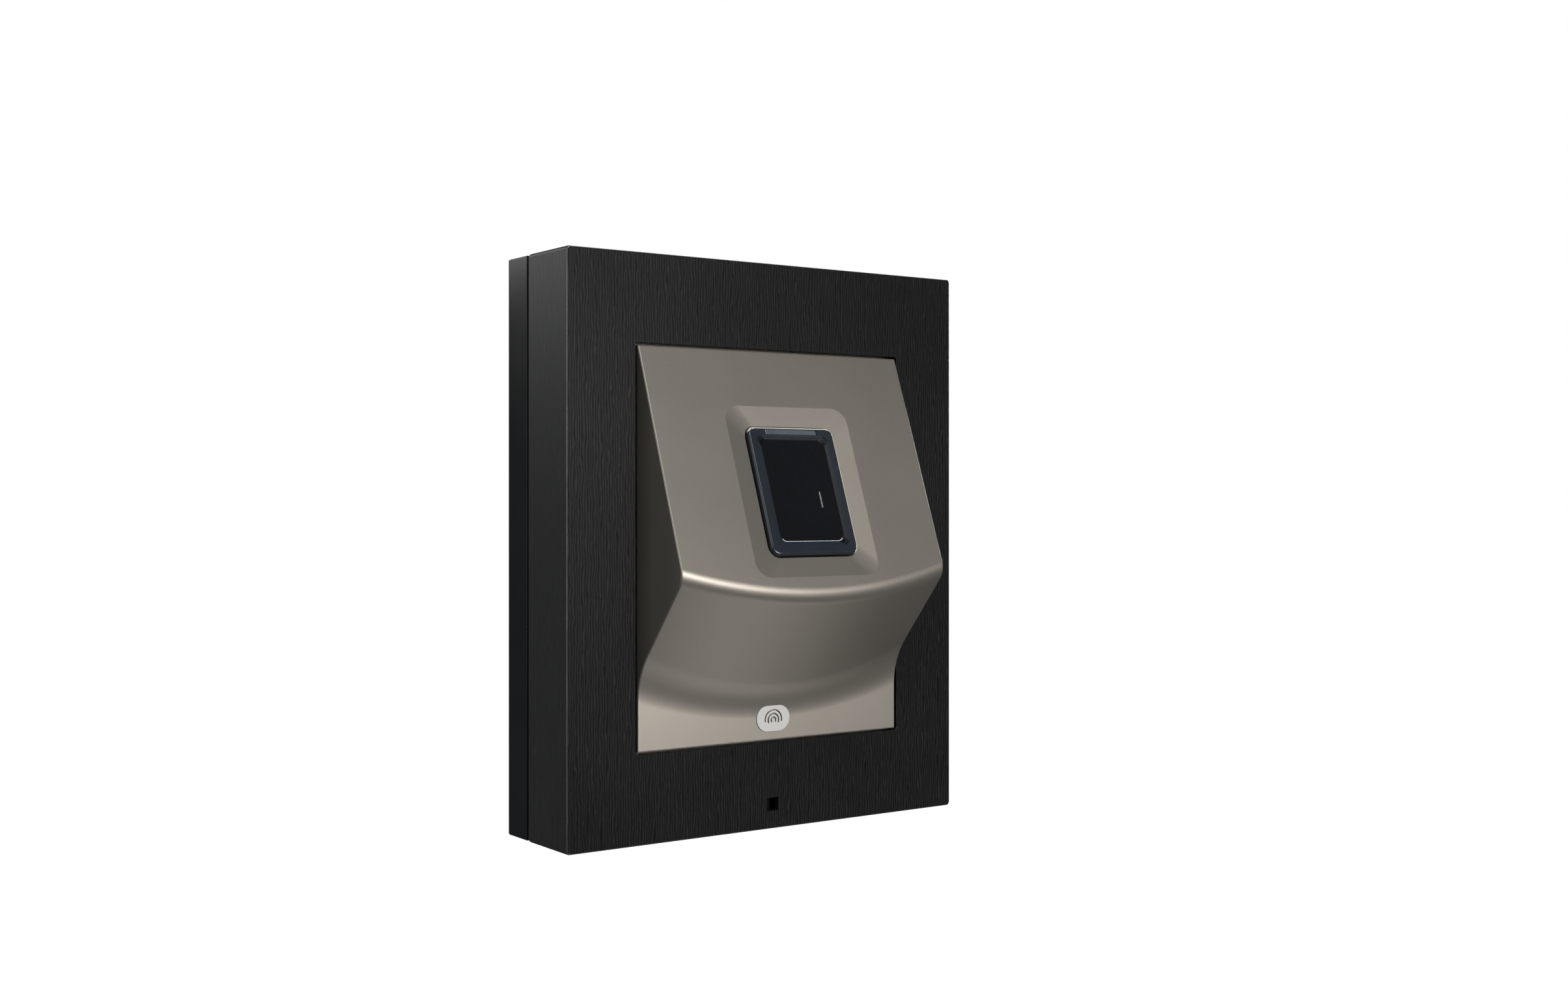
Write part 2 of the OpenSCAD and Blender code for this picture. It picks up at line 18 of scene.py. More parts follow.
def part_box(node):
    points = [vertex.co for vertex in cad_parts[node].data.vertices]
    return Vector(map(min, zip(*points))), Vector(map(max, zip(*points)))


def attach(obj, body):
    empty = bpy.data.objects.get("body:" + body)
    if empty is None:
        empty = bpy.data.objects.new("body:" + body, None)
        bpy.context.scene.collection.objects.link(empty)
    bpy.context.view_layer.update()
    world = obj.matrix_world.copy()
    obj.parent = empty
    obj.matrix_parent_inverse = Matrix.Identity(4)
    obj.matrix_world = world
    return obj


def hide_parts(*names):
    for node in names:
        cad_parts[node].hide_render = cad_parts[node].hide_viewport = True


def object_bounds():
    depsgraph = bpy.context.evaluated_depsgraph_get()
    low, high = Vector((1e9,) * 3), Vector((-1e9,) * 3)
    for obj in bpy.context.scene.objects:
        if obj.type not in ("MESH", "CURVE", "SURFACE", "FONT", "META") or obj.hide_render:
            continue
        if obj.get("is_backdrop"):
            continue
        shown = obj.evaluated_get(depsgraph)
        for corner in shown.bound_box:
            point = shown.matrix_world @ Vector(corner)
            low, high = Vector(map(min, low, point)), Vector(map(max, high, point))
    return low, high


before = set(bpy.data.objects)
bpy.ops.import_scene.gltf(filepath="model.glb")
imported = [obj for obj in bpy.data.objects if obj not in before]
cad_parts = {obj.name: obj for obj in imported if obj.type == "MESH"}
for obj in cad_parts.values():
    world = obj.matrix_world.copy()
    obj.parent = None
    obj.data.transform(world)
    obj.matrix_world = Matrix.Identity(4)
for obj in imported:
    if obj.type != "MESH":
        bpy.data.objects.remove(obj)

LOG = logging.getLogger("terminal")
MM = 0.001

Profile = Sequence[tuple[float, float]]
Colour = tuple[float, float, float]
Triple = tuple[float, float, float]
Spot = tuple[float, float]
Socket = bpy.types.NodeSocket
Object = bpy.types.Object

UPRIGHT = Matrix.Rotation(math.radians(90), 4, "X")
ALONG_X = Matrix.Rotation(math.radians(90), 4, "Y")
HERE = Matrix.Identity(4)


class Body(Enum):
    """The bodies of the frame that a piece may ride on."""

    BACK = "back"
    FRONT = "front"
    BUTTON = "tamper_button"
    LOCK = "lock_screw"


class Slot(Enum):
    """The material slots of the record."""

    BRUSHED = "brushed_black"
    BOX = "box_plastic"
    RUBBER = "seal_rubber"
    STEEL = "bare_steel"
    CAST = "cast_satin"
    BADGE = "badge_finish"
    BEZEL = "bezel_gloss"
    GLASS = "window_glass"
    LIGHT = "light_guide"
    BOARD = "board_green"
    LED = "led_white"
    ZINC = "zinc_plate"
    CREAM = "connector_cream"
    RIBBON = "ribbon_film"
    TRAY = "tray_plastic"
    CHIP = "chip_black"
    SWITCH = "switch_case"
    MEMBRANE = "membrane_black"


class Run(Enum):
    """Which way a surface was brushed: 1 on each axis that crosses the marks, and 0 on the one along them."""

    UPRIGHT = (1.0, 1.0, 0.0)
    INWARDS = (1.0, 0.0, 1.0)


# ---------------------------------------------------------------- finishes


class NodeDesk:
    """A material's nodes, added and joined up one at a time."""

    def __init__(self, name: str) -> None:
        """Starts a material of that name with its one shader."""
        self.material = bpy.data.materials.new(name)
        self.material.use_nodes = True
        self.tree = self.material.node_tree
        self.shader = self.tree.nodes["Principled BSDF"]

    def add(self, kind: str, inputs: dict[Union[str, int], object], **settings: object) -> bpy.types.Node:
        """Adds one node.

        Args:
            kind: the node's type, without its ShaderNode prefix.
            inputs: values, or sockets to link, by input name or number.
            settings: the node's own properties.

        Returns:
            The node.
        """
        node = self.tree.nodes.new("ShaderNode" + kind)
        for key, value in settings.items():
            setattr(node, key, value)
        for key, value in inputs.items():
            if isinstance(value, Socket):
                self.tree.links.new(value, node.inputs[key])
            else:
                node.inputs[key].default_value = value
        return node

    def coords(self, scale: Triple = (1.0, 1.0, 1.0)) -> Socket:
        """Object coordinates in metres, times scale."""
        place = self.add("TexCoord", {})
        return self.add("Mapping", {"Vector": place.outputs["Object"], "Scale": scale}).outputs["Vector"]

    def noise(self, per_m: float, detail: float = 3.0, scale: Triple = (1.0, 1.0, 1.0)) -> Socket:
        """Noise with about per_m patches a metre, stretched by scale."""
        inputs = {"Vector": self.coords(scale), "Scale": per_m, "Detail": detail}
        return self.add("TexNoise", inputs).outputs["Fac"]

    def ranged(self, value: Socket, low: float, high: float, start: float = 0.3, end: float = 0.7) -> Socket:
        """The value from start to end turned into low to high, and held there."""
        inputs = {"Value": value, "From Min": start, "From Max": end, "To Min": low, "To Max": high}
        return self.add("MapRange", inputs).outputs["Result"]

    def sums(self, operation: str, a: Union[Socket, float], b: Union[Socket, float]) -> Socket:
        """One sum on two values."""
        return self.add("Math", {0: a, 1: b}, operation=operation).outputs["Value"]

    def shades(self, value: Socket, stops: Sequence[tuple[float, Colour]]) -> Socket:
        """A run of colours along the value.

        Args:
            value: what picks the colour.
            stops: (place, colour) pairs in order.

        Returns:
            The colour socket.
        """
        node = self.add("ValToRGB", {"Fac": value})
        ramp = node.color_ramp
        while len(ramp.elements) < len(stops):
            ramp.elements.new(0.5)
        for element, (place, colour) in zip(ramp.elements, stops):
            element.position = place
            element.color = (*colour, 1.0)
        return node.outputs["Color"]

    def wire(self, **sockets: Socket) -> None:
        """Links sockets to the shader's inputs, with _ for a space."""
        for key, socket in sockets.items():
            self.tree.links.new(socket, self.shader.inputs[key.replace("_", " ")])

    def fix(self, values: dict[str, object]) -> None:
        """Sets constants on the shader's own sockets."""
        for key, value in values.items():
            self.shader.inputs[key].default_value = value

    def bump(self, height: Socket, depth_mm: float, strength: float = 1.0) -> None:
        """Joins a height to the shader's normal."""
        inputs = {"Height": height, "Distance": depth_mm * MM, "Strength": strength}
        self.wire(Normal=self.add("Bump", inputs).outputs["Normal"])


@dataclass(frozen=True)
class Finish:
    """A surface with broad mottling and a fine grain, and the base of every other finish."""

    name: str
    light: Colour
    dark: Colour
    rough: tuple[float, float] = (0.45, 0.6)
    metal: float = 0.0
    gloss: float = 0.5
    coat: float = 0.0
    coat_rough: float = 0.08
    mottle_per_m: float = 60.0
    grain_per_m: float = 4000.0
    grain_mm: float = 0.02
    grain_force: float = 0.4

    def make(self) -> bpy.types.Material:
        """Builds the material."""
        desk = NodeDesk(self.name)
        desk.fix({
            "Metallic": self.metal, "Specular IOR Level": self.gloss,
            "Coat Weight": self.coat, "Coat Roughness": self.coat_rough,
        })
        self.paint(desk)
        return desk.material

    def paint(self, desk: NodeDesk) -> None:
        """Joins up colour, roughness and bump."""
        mottle = desk.noise(self.mottle_per_m, 4.0)
        grain = desk.noise(self.grain_per_m, 2.0)
        both = desk.sums("ADD", desk.sums("MULTIPLY", mottle, 0.6), desk.sums("MULTIPLY", grain, 0.4))
        desk.wire(Base_Color=desk.shades(both, [(0.36, self.dark), (0.64, self.light)]))
        desk.wire(Roughness=desk.ranged(both, *self.rough, 0.36, 0.64))
        desk.bump(grain, self.grain_mm, self.grain_force)


@dataclass(frozen=True)
class Brushed(Finish):
    """Black anodised metal with fine wavy brush marks."""

    run: Run = Run.UPRIGHT
    lines_per_m: float = 1500.0
    line_force: float = 0.12
    bend_turns: float = 2.6
    bend_across_per_m: float = 650.0
    bend_along_per_m: float = 160.0
    patch_force: float = 0.03
    faintest: float = 0.25
    strongest: float = 1.6
    middle_mix: float = 0.38

    def paint(self, desk: NodeDesk) -> None:
        """Draws fine wavy lines whose strength comes and goes along the brushing."""
        bend = desk.noise(1.0, 3.0, self.stretched(self.bend_across_per_m, self.bend_along_per_m))
        fade = desk.noise(1.0, 2.0, self.stretched(self.lines_per_m, 1.5 * self.bend_along_per_m))
        patch = desk.ranged(desk.noise(self.mottle_per_m, 2.0), -self.patch_force, self.patch_force)
        axes = {0: desk.coords(), 1: self.run.value}
        across = desk.add("VectorMath", axes, operation="DOT_PRODUCT").outputs["Value"]
        turns = desk.sums("ADD", desk.sums("MULTIPLY", across, self.lines_per_m),
                          desk.sums("MULTIPLY", bend, self.bend_turns))
        line = desk.sums("SINE", desk.sums("MULTIPLY", turns, math.tau), 0.0)
        force = desk.ranged(fade, self.faintest * self.line_force, self.strongest * self.line_force)
        value = desk.sums("ADD", desk.sums("ADD", desk.sums("MULTIPLY", line, force), 0.5), patch)
        mix = self.middle_mix
        middle = tuple((1 - mix) * d + mix * l for d, l in zip(self.dark, self.light))
        desk.wire(Base_Color=desk.shades(value, [(0.25, self.dark), (0.53, middle), (0.75, self.light)]))
        desk.wire(Roughness=desk.ranged(value, self.rough[1], self.rough[0], 0.3, 0.7))
        desk.bump(value, self.grain_mm, self.grain_force)

    def stretched(self, across: float, along: float) -> Triple:
        """Marks a metre on each axis, for this run."""
        return tuple(across if mask else along for mask in self.run.value)


@dataclass(frozen=True)
class Satin(Finish):
    """Cast metal under a satin coat: a very fine sparkle over an even colour."""

    def paint(self, desk: NodeDesk) -> None:
        """Keeps the colour almost even and puts the life in the roughness and the grain."""
        grain = desk.noise(self.grain_per_m, 1.0)
        cloud = desk.noise(self.mottle_per_m, 3.0)
        both = desk.sums("ADD", desk.sums("MULTIPLY", grain, 0.75), desk.sums("MULTIPLY", cloud, 0.25))
        desk.wire(Base_Color=desk.shades(both, [(0.3, self.dark), (0.7, self.light)]))
        desk.wire(Roughness=desk.ranged(both, *self.rough))
        desk.bump(grain, self.grain_mm, self.grain_force)


@dataclass(frozen=True)
class Board(Finish):
    """Green solder mask with copper tracks showing through."""

    track_per_m: float = 700.0

    def paint(self, desk: NodeDesk) -> None:
        """Draws tracks from the edges of square cells."""
        cells = {"Vector": desk.coords(), "Scale": self.track_per_m}
        distance = desk.add("TexVoronoi", cells, distance="CHEBYCHEV", feature="F1").outputs["Distance"]
        desk.wire(Base_Color=desk.shades(distance, [(0.3, self.light), (0.42, self.dark)]))
        desk.wire(Roughness=desk.ranged(distance, *self.rough))
        desk.bump(distance, self.grain_mm, self.grain_force)


@dataclass(frozen=True)
class Film(Finish):
    """Flat cable film with its conductors in stripes across x."""

    stripe_per_m: float = 1600.0

    def paint(self, desk: NodeDesk) -> None:
        """Draws the stripes with a wave along x."""
        inputs = {"Vector": desk.coords(), "Scale": self.stripe_per_m / math.tau}
        wave = desk.add("TexWave", inputs, bands_direction="X").outputs["Fac"]
        desk.wire(Base_Color=desk.shades(wave, [(0.4, self.dark), (0.6, self.light)]))
        desk.wire(Roughness=desk.ranged(wave, *self.rough))
        desk.bump(wave, self.grain_mm, self.grain_force)


FINISHES: dict[Slot, Finish] = {
    Slot.BRUSHED: Brushed(
        "brushed_black_upright", (0.0225, 0.0225, 0.0229), (0.0006, 0.0006, 0.0007), rough=(0.3, 0.42),
        gloss=0.04, mottle_per_m=26.0, grain_mm=0.014, grain_force=0.45),
    Slot.BOX: Finish(
        "moulded_black", (0.011, 0.0112, 0.0118), (0.007, 0.0072, 0.0078), rough=(0.17, 0.22), gloss=0.3,
        grain_per_m=3200.0, grain_mm=0.008, grain_force=0.3),
    Slot.RUBBER: Finish(
        "seal_rubber", (0.018, 0.018, 0.018), (0.009, 0.009, 0.009), rough=(0.6, 0.75), gloss=0.3,
        grain_per_m=2600.0, grain_mm=0.02),
    Slot.STEEL: Finish(
        "bare_steel", (0.56, 0.56, 0.55), (0.42, 0.42, 0.41), rough=(0.22, 0.36), metal=1.0,
        grain_per_m=2400.0, grain_mm=0.006),
    Slot.CAST: Satin(
        "cast_satin", (0.24, 0.221, 0.194), (0.198, 0.182, 0.16), rough=(0.38, 0.44), metal=0.78, gloss=0.5,
        mottle_per_m=35.0, grain_per_m=7500.0, grain_mm=0.004, grain_force=0.35),
    Slot.BADGE: Satin(
        "badge_pale", (0.42, 0.42, 0.405), (0.37, 0.37, 0.36), rough=(0.42, 0.5), metal=0.15, gloss=0.5,
        grain_per_m=5200.0, grain_mm=0.003),
    Slot.BEZEL: Finish(
        "bezel_gloss", (0.0175, 0.0225, 0.0295), (0.013, 0.017, 0.0225), rough=(0.2, 0.26), gloss=0.3,
        grain_per_m=2800.0, grain_mm=0.003, grain_force=0.25),
    Slot.GLASS: Finish(
        "window_glass", (0.0045, 0.0055, 0.0065), (0.0035, 0.0042, 0.005), rough=(0.1, 0.16), gloss=0.45,
        grain_per_m=900.0, grain_mm=0.001, grain_force=0.1),
    Slot.LIGHT: Finish(
        "light_guide", (0.075, 0.088, 0.1), (0.05, 0.06, 0.07), rough=(0.16, 0.24), gloss=0.6, coat=0.4,
        grain_per_m=1800.0, grain_mm=0.003),
    Slot.BOARD: Board(
        "board_green", (0.03, 0.15, 0.06), (0.012, 0.07, 0.028), rough=(0.3, 0.42), gloss=0.5, grain_mm=0.03),
    Slot.LED: Finish(
        "led_white", (0.8, 0.78, 0.66), (0.7, 0.66, 0.5), rough=(0.25, 0.35), grain_per_m=3000.0),
    Slot.ZINC: Finish(
        "zinc_plate", (0.52, 0.53, 0.54), (0.34, 0.35, 0.37), rough=(0.26, 0.42), metal=1.0,
        mottle_per_m=160.0, grain_per_m=1500.0, grain_mm=0.006),
    Slot.CREAM: Finish(
        "connector_cream", (0.62, 0.58, 0.46), (0.54, 0.5, 0.39), rough=(0.4, 0.52), grain_per_m=3200.0),
    Slot.RIBBON: Film(
        "ribbon_film", (0.62, 0.5, 0.3), (0.36, 0.24, 0.11), rough=(0.3, 0.4), grain_mm=0.02),
    Slot.TRAY: Finish(
        "tray_plastic", (0.03, 0.031, 0.033), (0.02, 0.0205, 0.022), rough=(0.44, 0.56), gloss=0.45,
        grain_per_m=3600.0, grain_mm=0.014),
    Slot.CHIP: Finish(
        "chip_black", (0.022, 0.022, 0.024), (0.013, 0.013, 0.015), rough=(0.5, 0.62), grain_per_m=6000.0),
    Slot.SWITCH: Finish(
        "switch_case", (0.16, 0.028, 0.024), (0.11, 0.018, 0.016), rough=(0.35, 0.46), grain_per_m=3400.0),
    Slot.MEMBRANE: Finish(
        "membrane_black", (0.006, 0.006, 0.006), (0.003, 0.003, 0.003), rough=(0.75, 0.9), gloss=0.2,
        grain_per_m=5000.0, grain_mm=0.03),
}
BRUSHED_ENDS = replace(FINISHES[Slot.BRUSHED], name="brushed_black_inwards", run=Run.INWARDS)
# Painted sheen: a lighter, glossier copy of the front's brushing for the outer sides, standing in for the
# brighter reflection they catch.
SIDES_PAINTED_SHEEN = replace(
    FINISHES[Slot.BRUSHED], name="brushed_black_sides_painted_sheen", light=(0.05, 0.05, 0.0505),
    dark=(0.012, 0.012, 0.0122), gloss=0.2)
# Painted glint with a little edge wear: a pale, more metallic copy of the brushing for the rounded outer
# front edge, standing in for the light line it catches.
EDGE_PAINTED_GLINT = replace(
    FINISHES[Slot.BRUSHED], name="brushed_black_edge_painted_glint", light=(0.14, 0.14, 0.14), dark=(0.07, 0.07, 0.07),
    rough=(0.25, 0.35), metal=0.6, gloss=0.4, mottle_per_m=60.0, grain_mm=0.004, grain_force=0.2)
GOLD = Finish(
    "contact_gold", (0.75, 0.52, 0.2), (0.6, 0.4, 0.14), rough=(0.2, 0.32), metal=1.0, grain_per_m=3000.0)
# Painted shade: darker, duller copies of the bezel for its inner slope at the top and right, deepest next to
# the glass.
BEZEL_PAINTED_SHADE = replace(
    FINISHES[Slot.BEZEL], name="bezel_painted_shade", light=(0.008, 0.0105, 0.014), dark=(0.006, 0.008, 0.011),
    rough=(0.3, 0.36), gloss=0.12)
BEZEL_PAINTED_DEEP_SHADE = replace(
    FINISHES[Slot.BEZEL], name="bezel_painted_deep_shade", light=(0.0035, 0.0045, 0.006), dark=(0.0025, 0.0032, 0.0045),
    rough=(0.35, 0.4), gloss=0.05)
# Painted highlight: a pale finish for the bezel rim's outer turn at the top and right, where the rim catches
# the light.
BEZEL_RIM_PAINTED_HIGHLIGHT = Finish(
    "bezel_rim_painted_highlight", (0.6, 0.58, 0.54), (0.5, 0.48, 0.45), rough=(0.3, 0.36),
    grain_per_m=2800.0, grain_mm=0.001)
# Painted highlight: the pale finish of the hairline along the glass's low edge.
WINDOW_PAINTED_HIGHLIGHT = Finish(
    "window_painted_highlight_pale", (0.42, 0.44, 0.46), (0.35, 0.37, 0.39), rough=(0.3, 0.4),
    grain_per_m=3000.0, grain_mm=0.001)
TOUCH_GREY = Finish(
    "touch_mark_grey", (0.15, 0.175, 0.175), (0.11, 0.13, 0.13), rough=(0.35, 0.45), grain_per_m=3000.0)


class Shelf:
    """Keeps one material of each finish."""

    def __init__(self) -> None:
        """Starts empty."""
        self.made: dict[str, bpy.types.Material] = {}

    def take(self, finish: Finish) -> bpy.types.Material:
        """The material of a finish, made the first time it is asked for."""
        if finish.name not in self.made:
            self.made[finish.name] = finish.make()
        return self.made[finish.name]


SHELF = Shelf()


# ---------------------------------------------------------------- bench work


@dataclass(frozen=True)
class Extent:
    """Where a CAD node is on the bench, in millimetres."""

    x0: float
    x1: float
    y0: float
    y1: float
    z0: float
    z1: float

    @classmethod
    def of(cls, node: str) -> "Extent":
        """The extent of the node of that name."""
        low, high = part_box(node)
        return cls(low.x / MM, high.x / MM, low.z / MM, high.z / MM, -high.y / MM, -low.y / MM)

    @property
    def width(self) -> float:
        """Size along x."""
        return self.x1 - self.x0

    @property
    def height(self) -> float:
        """Size along y."""
        return self.y1 - self.y0

    @property
    def x(self) -> float:
        """Middle along x."""
        return (self.x0 + self.x1) / 2

    @property
    def y(self) -> float:
        """Middle along y."""
        return (self.y0 + self.y1) / 2


def lone(piece: Object) -> None:
    """Leaves only this piece selected and active."""
    bpy.ops.object.select_all(action="DESELECT")
    piece.select_set(True)
    bpy.context.view_layer.objects.active = piece


@contextmanager
def editing(piece: Object, kind: str = "FACE") -> Iterator[None]:
    """Opens a piece in edit mode with everything selected, and closes it again.

    Args:
        piece: the piece to open.
        kind: VERT, EDGE or FACE selection.
    """
    lone(piece)
    bpy.ops.object.mode_set(mode="EDIT")
    bpy.ops.mesh.select_mode(type=kind)
    bpy.ops.mesh.select_all(action="SELECT")
    yield
    bpy.ops.object.mode_set(mode="OBJECT")


PAIRS = {
    "faces": lambda face: (face.calc_center_median(), face.normal),
    "edges": lambda edge: (edge.verts[0].co, edge.verts[1].co),
}


def pick(piece: Object, kind: str, test: Callable[[Vector, Vector], bool]) -> None:
    """In edit mode, selects the faces or edges that pass a test.

    Args:
        piece: the piece being edited.
        kind: "faces", tested by middle and normal, or "edges", tested by their two ends.
        test: says yes or no from that pair.
    """
    bpy.ops.mesh.select_all(action="DESELECT")
    mesh = bmesh.from_edit_mesh(piece.data)
    for item in getattr(mesh, kind):
        if test(*PAIRS[kind](item)):
            item.select_set(True)
    bmesh.update_edit_mesh(piece.data)


def named(name: str) -> Object:
    """Gives the piece just added its name, and its place to its mesh."""
    piece = bpy.context.object
    piece.name = name
    piece.data.name = name
    bpy.ops.object.transform_apply(location=True, rotation=True, scale=True)
    return piece


def slab(name: str, width: float, height: float, radius: float, profile: Profile,
         x: float = 0.0, y: float = 0.0, steps: int = 8) -> Object:
    """Round-cornered block, raised outline by outline.

    Args:
        name: the piece's name.
        width: size along x where the inset is 0.
        height: size along y where the inset is 0.
        radius: rounding of the corners that run along z.
        profile: (z, inset) pairs from the lowest outline to the highest.
        x: middle along x.
        y: middle along y.
        steps: edges in each rounded corner.

    Returns:
        The closed block.
    """
    z, inset = profile[0]
    bpy.ops.object.select_all(action="DESELECT")
    bpy.ops.mesh.primitive_plane_add(size=1, location=(x, y, z), scale=(1, 1, 1))
    bpy.context.object.scale = (width - 2 * inset, height - 2 * inset, 1)
    piece = named(name)
    with editing(piece, "VERT"):
        if radius:
            bpy.ops.mesh.bevel(offset=radius, segments=steps, affect="VERTICES")
            bpy.ops.mesh.select_all(action="SELECT")
        for (z0, i0), (z1, i1) in zip(profile, profile[1:]):
            bpy.ops.mesh.extrude_region_move(TRANSFORM_OT_translate={"value": (0, 0, z1 - z0)})
            size = ((width - 2 * i1) / (width - 2 * i0), (height - 2 * i1) / (height - 2 * i0), 1)
            bpy.ops.transform.resize(value=size, center_override=(x, y, z1))
        bpy.ops.mesh.select_all(action="SELECT")
        bpy.ops.mesh.normals_make_consistent(inside=False)
    return piece


def turned(name: str, profile: Profile, x: float = 0.0, y: float = 0.0, sides: int = 40) -> Object:
    """Round piece along z, raised ring by ring.

    Args:
        name: the piece's name.
        profile: (z, radius) pairs from the lowest ring to the highest.
        x: middle along x.
        y: middle along y.
        sides: edges round each ring.

    Returns:
        The closed piece.
    """
    z, radius = profile[0]
    bpy.ops.object.select_all(action="DESELECT")
    bpy.ops.mesh.primitive_circle_add(vertices=sides, radius=radius, fill_type="NGON", location=(x, y, z))
    piece = named(name)
    with editing(piece, "VERT"):
        for (z0, r0), (z1, r1) in zip(profile, profile[1:]):
            bpy.ops.mesh.extrude_region_move(TRANSFORM_OT_translate={"value": (0, 0, z1 - z0)})
            bpy.ops.transform.resize(value=(r1 / r0, r1 / r0, 1), center_override=(x, y, z1))
        bpy.ops.mesh.select_all(action="SELECT")
        bpy.ops.mesh.normals_make_consistent(inside=False)
    return piece


def block(name: str, x: Spot, y: Spot, z: Spot) -> Object:
    """Square block between two places on each axis."""
    bpy.ops.object.select_all(action="DESELECT")
    middle = tuple((a + b) / 2 for a, b in (x, y, z))
    bpy.ops.mesh.primitive_cube_add(size=1, location=middle)
    bpy.context.object.scale = tuple(b - a for a, b in (x, y, z))
    return named(name)


def drill(radius: float, z: Spot, x: float = 0.0, y: float = 0.0, sides: int = 40) -> Object:
    """Plain round tool or rod between two places along z."""
    return turned("drill", [(z[0], radius), (z[1], radius)], x, y, sides)


def post(x: float, y: float, half: Spot, z: Spot) -> Object:
    """Square tool round a middle, between two places along z."""
    return block("post", (x - half[0], x + half[0]), (y - half[1], y + half[1]), z)


def rounded_start(z: float, radius: float, steps: int = 4) -> list[tuple[float, float]]:
    """Profile of a rounded lowest edge that starts at z."""
    turns = [math.pi / 2 * k / steps for k in range(steps + 1)]
    return [(z + radius - radius * math.cos(t), radius - radius * math.sin(t)) for t in turns]


def rounded_end(z: float, radius: float, steps: int = 4) -> list[tuple[float, float]]:
    """Profile of a rounded highest edge that ends at z."""
    turns = [math.pi / 2 * k / steps for k in range(steps + 1)]
    return [(z - radius + radius * math.sin(t), radius - radius * math.cos(t)) for t in turns]


def turn_to(piece: Object, matrix: Matrix) -> Object:
    """Moves a piece by a matrix and keeps the move in its mesh."""
    lone(piece)
    piece.matrix_world = matrix @ piece.matrix_world
    bpy.ops.object.transform_apply(location=True, rotation=True, scale=True)
    return piece


def combine(piece: Object, operation: str, tools: Sequence[Object]) -> Object:
    """Applies a boolean with each tool in turn, and removes the tools.

    Args:
        piece: the piece that is kept.
        operation: DIFFERENCE or UNION.
        tools: the other pieces.

    Returns:
        The piece.
    """
    for tool in tools:
        lone(piece)
        change = piece.modifiers.new("shape", "BOOLEAN")
        change.operation = operation
        change.solver = "EXACT"
        change.object = tool
        bpy.ops.object.modifier_apply(modifier=change.name)
        bpy.data.objects.remove(tool)
    return piece


def cut(piece: Object, *tools: Object) -> Object:
    """Takes the tools out of the piece."""
    return combine(piece, "DIFFERENCE", tools)


def weld(piece: Object, *tools: Object) -> Object:
    """Makes the tools one with the piece."""
    return combine(piece, "UNION", tools)


def smoothed(piece: Object, degrees: float = 35.0) -> Object:
    """Shades a piece smooth, apart from its sharp edges."""
    lone(piece)
    bpy.ops.object.shade_smooth_by_angle(angle=math.radians(degrees))
    change = piece.modifiers.new("shading", "WEIGHTED_NORMAL")
    change.keep_sharp = True
    change.weight = 90
    bpy.ops.object.modifier_apply(modifier=change.name)
    return piece


def duplicate(piece: Object, name: str, x: float = 0.0, y: float = 0.0, z: float = 0.0) -> Object:
    """A copy with its own mesh, moved along."""
    lone(piece)
    bpy.ops.object.duplicate(linked=False)
    copy = bpy.context.object
    copy.name = name
    copy.data.name = name
    copy.location = (x, y, z)
    bpy.ops.object.transform_apply(location=True, rotation=True, scale=True)
    return copy


def joined(pieces: Sequence[Object]) -> Object:
    """Joins pieces into the first one."""
    lone(pieces[0])
    for piece in pieces:
        piece.select_set(True)
    bpy.ops.object.join()
    return pieces[0]


def corners(x: float, y: float) -> list[Spot]:
    """Four spots, mirrored left and right and up and down."""
    return [(sx * x, sy * y) for sx in (-1, 1) for sy in (-1, 1)]


def deliver(piece: Object, body: Body, slot: Slot, replaces: Sequence[str] = (), spot: Matrix = HERE,
            degrees: float = 35.0, finish: Union[Finish, None] = None) -> Object:
    """Shades a piece, puts it in the row frame, and gives it its body and the material of its slot.

    Args:
        piece: the finished piece, on the bench.
        body: what it rides on.
        slot: the record's material slot.
        replaces: the CAD nodes it stands for.
        spot: where it goes on the bench first.
        degrees: the angle past which an edge stays sharp.
        finish: its finish, where it isn't the slot's own.

    Returns:
        The piece.
    """
    turn_to(piece, spot)
    smoothed(piece, degrees)
    turn_to(piece, Matrix.Scale(MM, 4) @ UPRIGHT)
    if not piece.data.materials:
        piece.data.materials.append(SHELF.take(finish or FINISHES[slot]))
    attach(piece, body.value)
    if replaces:
        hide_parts(*replaces)
    LOG.info("%s: %d faces, on %s", piece.name, len(piece.data.polygons), body.value)
    return piece


@dataclass(frozen=True)
class Slope:
    """The sensor's own axes on the sloped face: x across, y up the slope and z outwards."""

    board_thick: float = 1.2
    board_long: float = 30.6
    board_depth: float = 10.8

    @property
    def angle(self) -> float:
        """Lean of the slope, in radians, from the box round the sensor's board."""
        box = Extent.of("sensor_board")
        deep = box.z1 - box.z0
        return math.atan2(
            self.board_long * deep - self.board_thick * box.height,
            self.board_long * box.height - self.board_thick * deep,
        )

    def matrix(self) -> Matrix:
        """Turns the sensor's axes into the bench's."""
        box = Extent.of("sensor_board")
        lean = self.angle
        middle = Vector((0.0, box.y, (box.z0 + box.z1) / 2))
        outwards = Vector((0.0, math.sin(lean), math.cos(lean)))
        return Matrix.Translation(middle + outwards * self.board_depth) @ Matrix.Rotation(-lean, 4, "X")


@dataclass(frozen=True)
class HingeLine:
    """Line that the front swings about, and the line of the lock below it."""

    ear_x: float = 38.0
    y: float = 63.5
    out: float = 11.3
    pin_l: float = 9.0
    lock_out: float = 12.8

    def across(self, x: float) -> Matrix:
        """Lays a piece that is built along z on the hinge line, at that x."""
        return Matrix.Translation((x, self.y, self.out)) @ ALONG_X

    def lock(self, y: float) -> Matrix:
        """Stands a piece that is built along z on the lock's line, at that y."""
        return Matrix.Translation((0, y, self.lock_out)) @ UPRIGHT


HINGE = HingeLine()


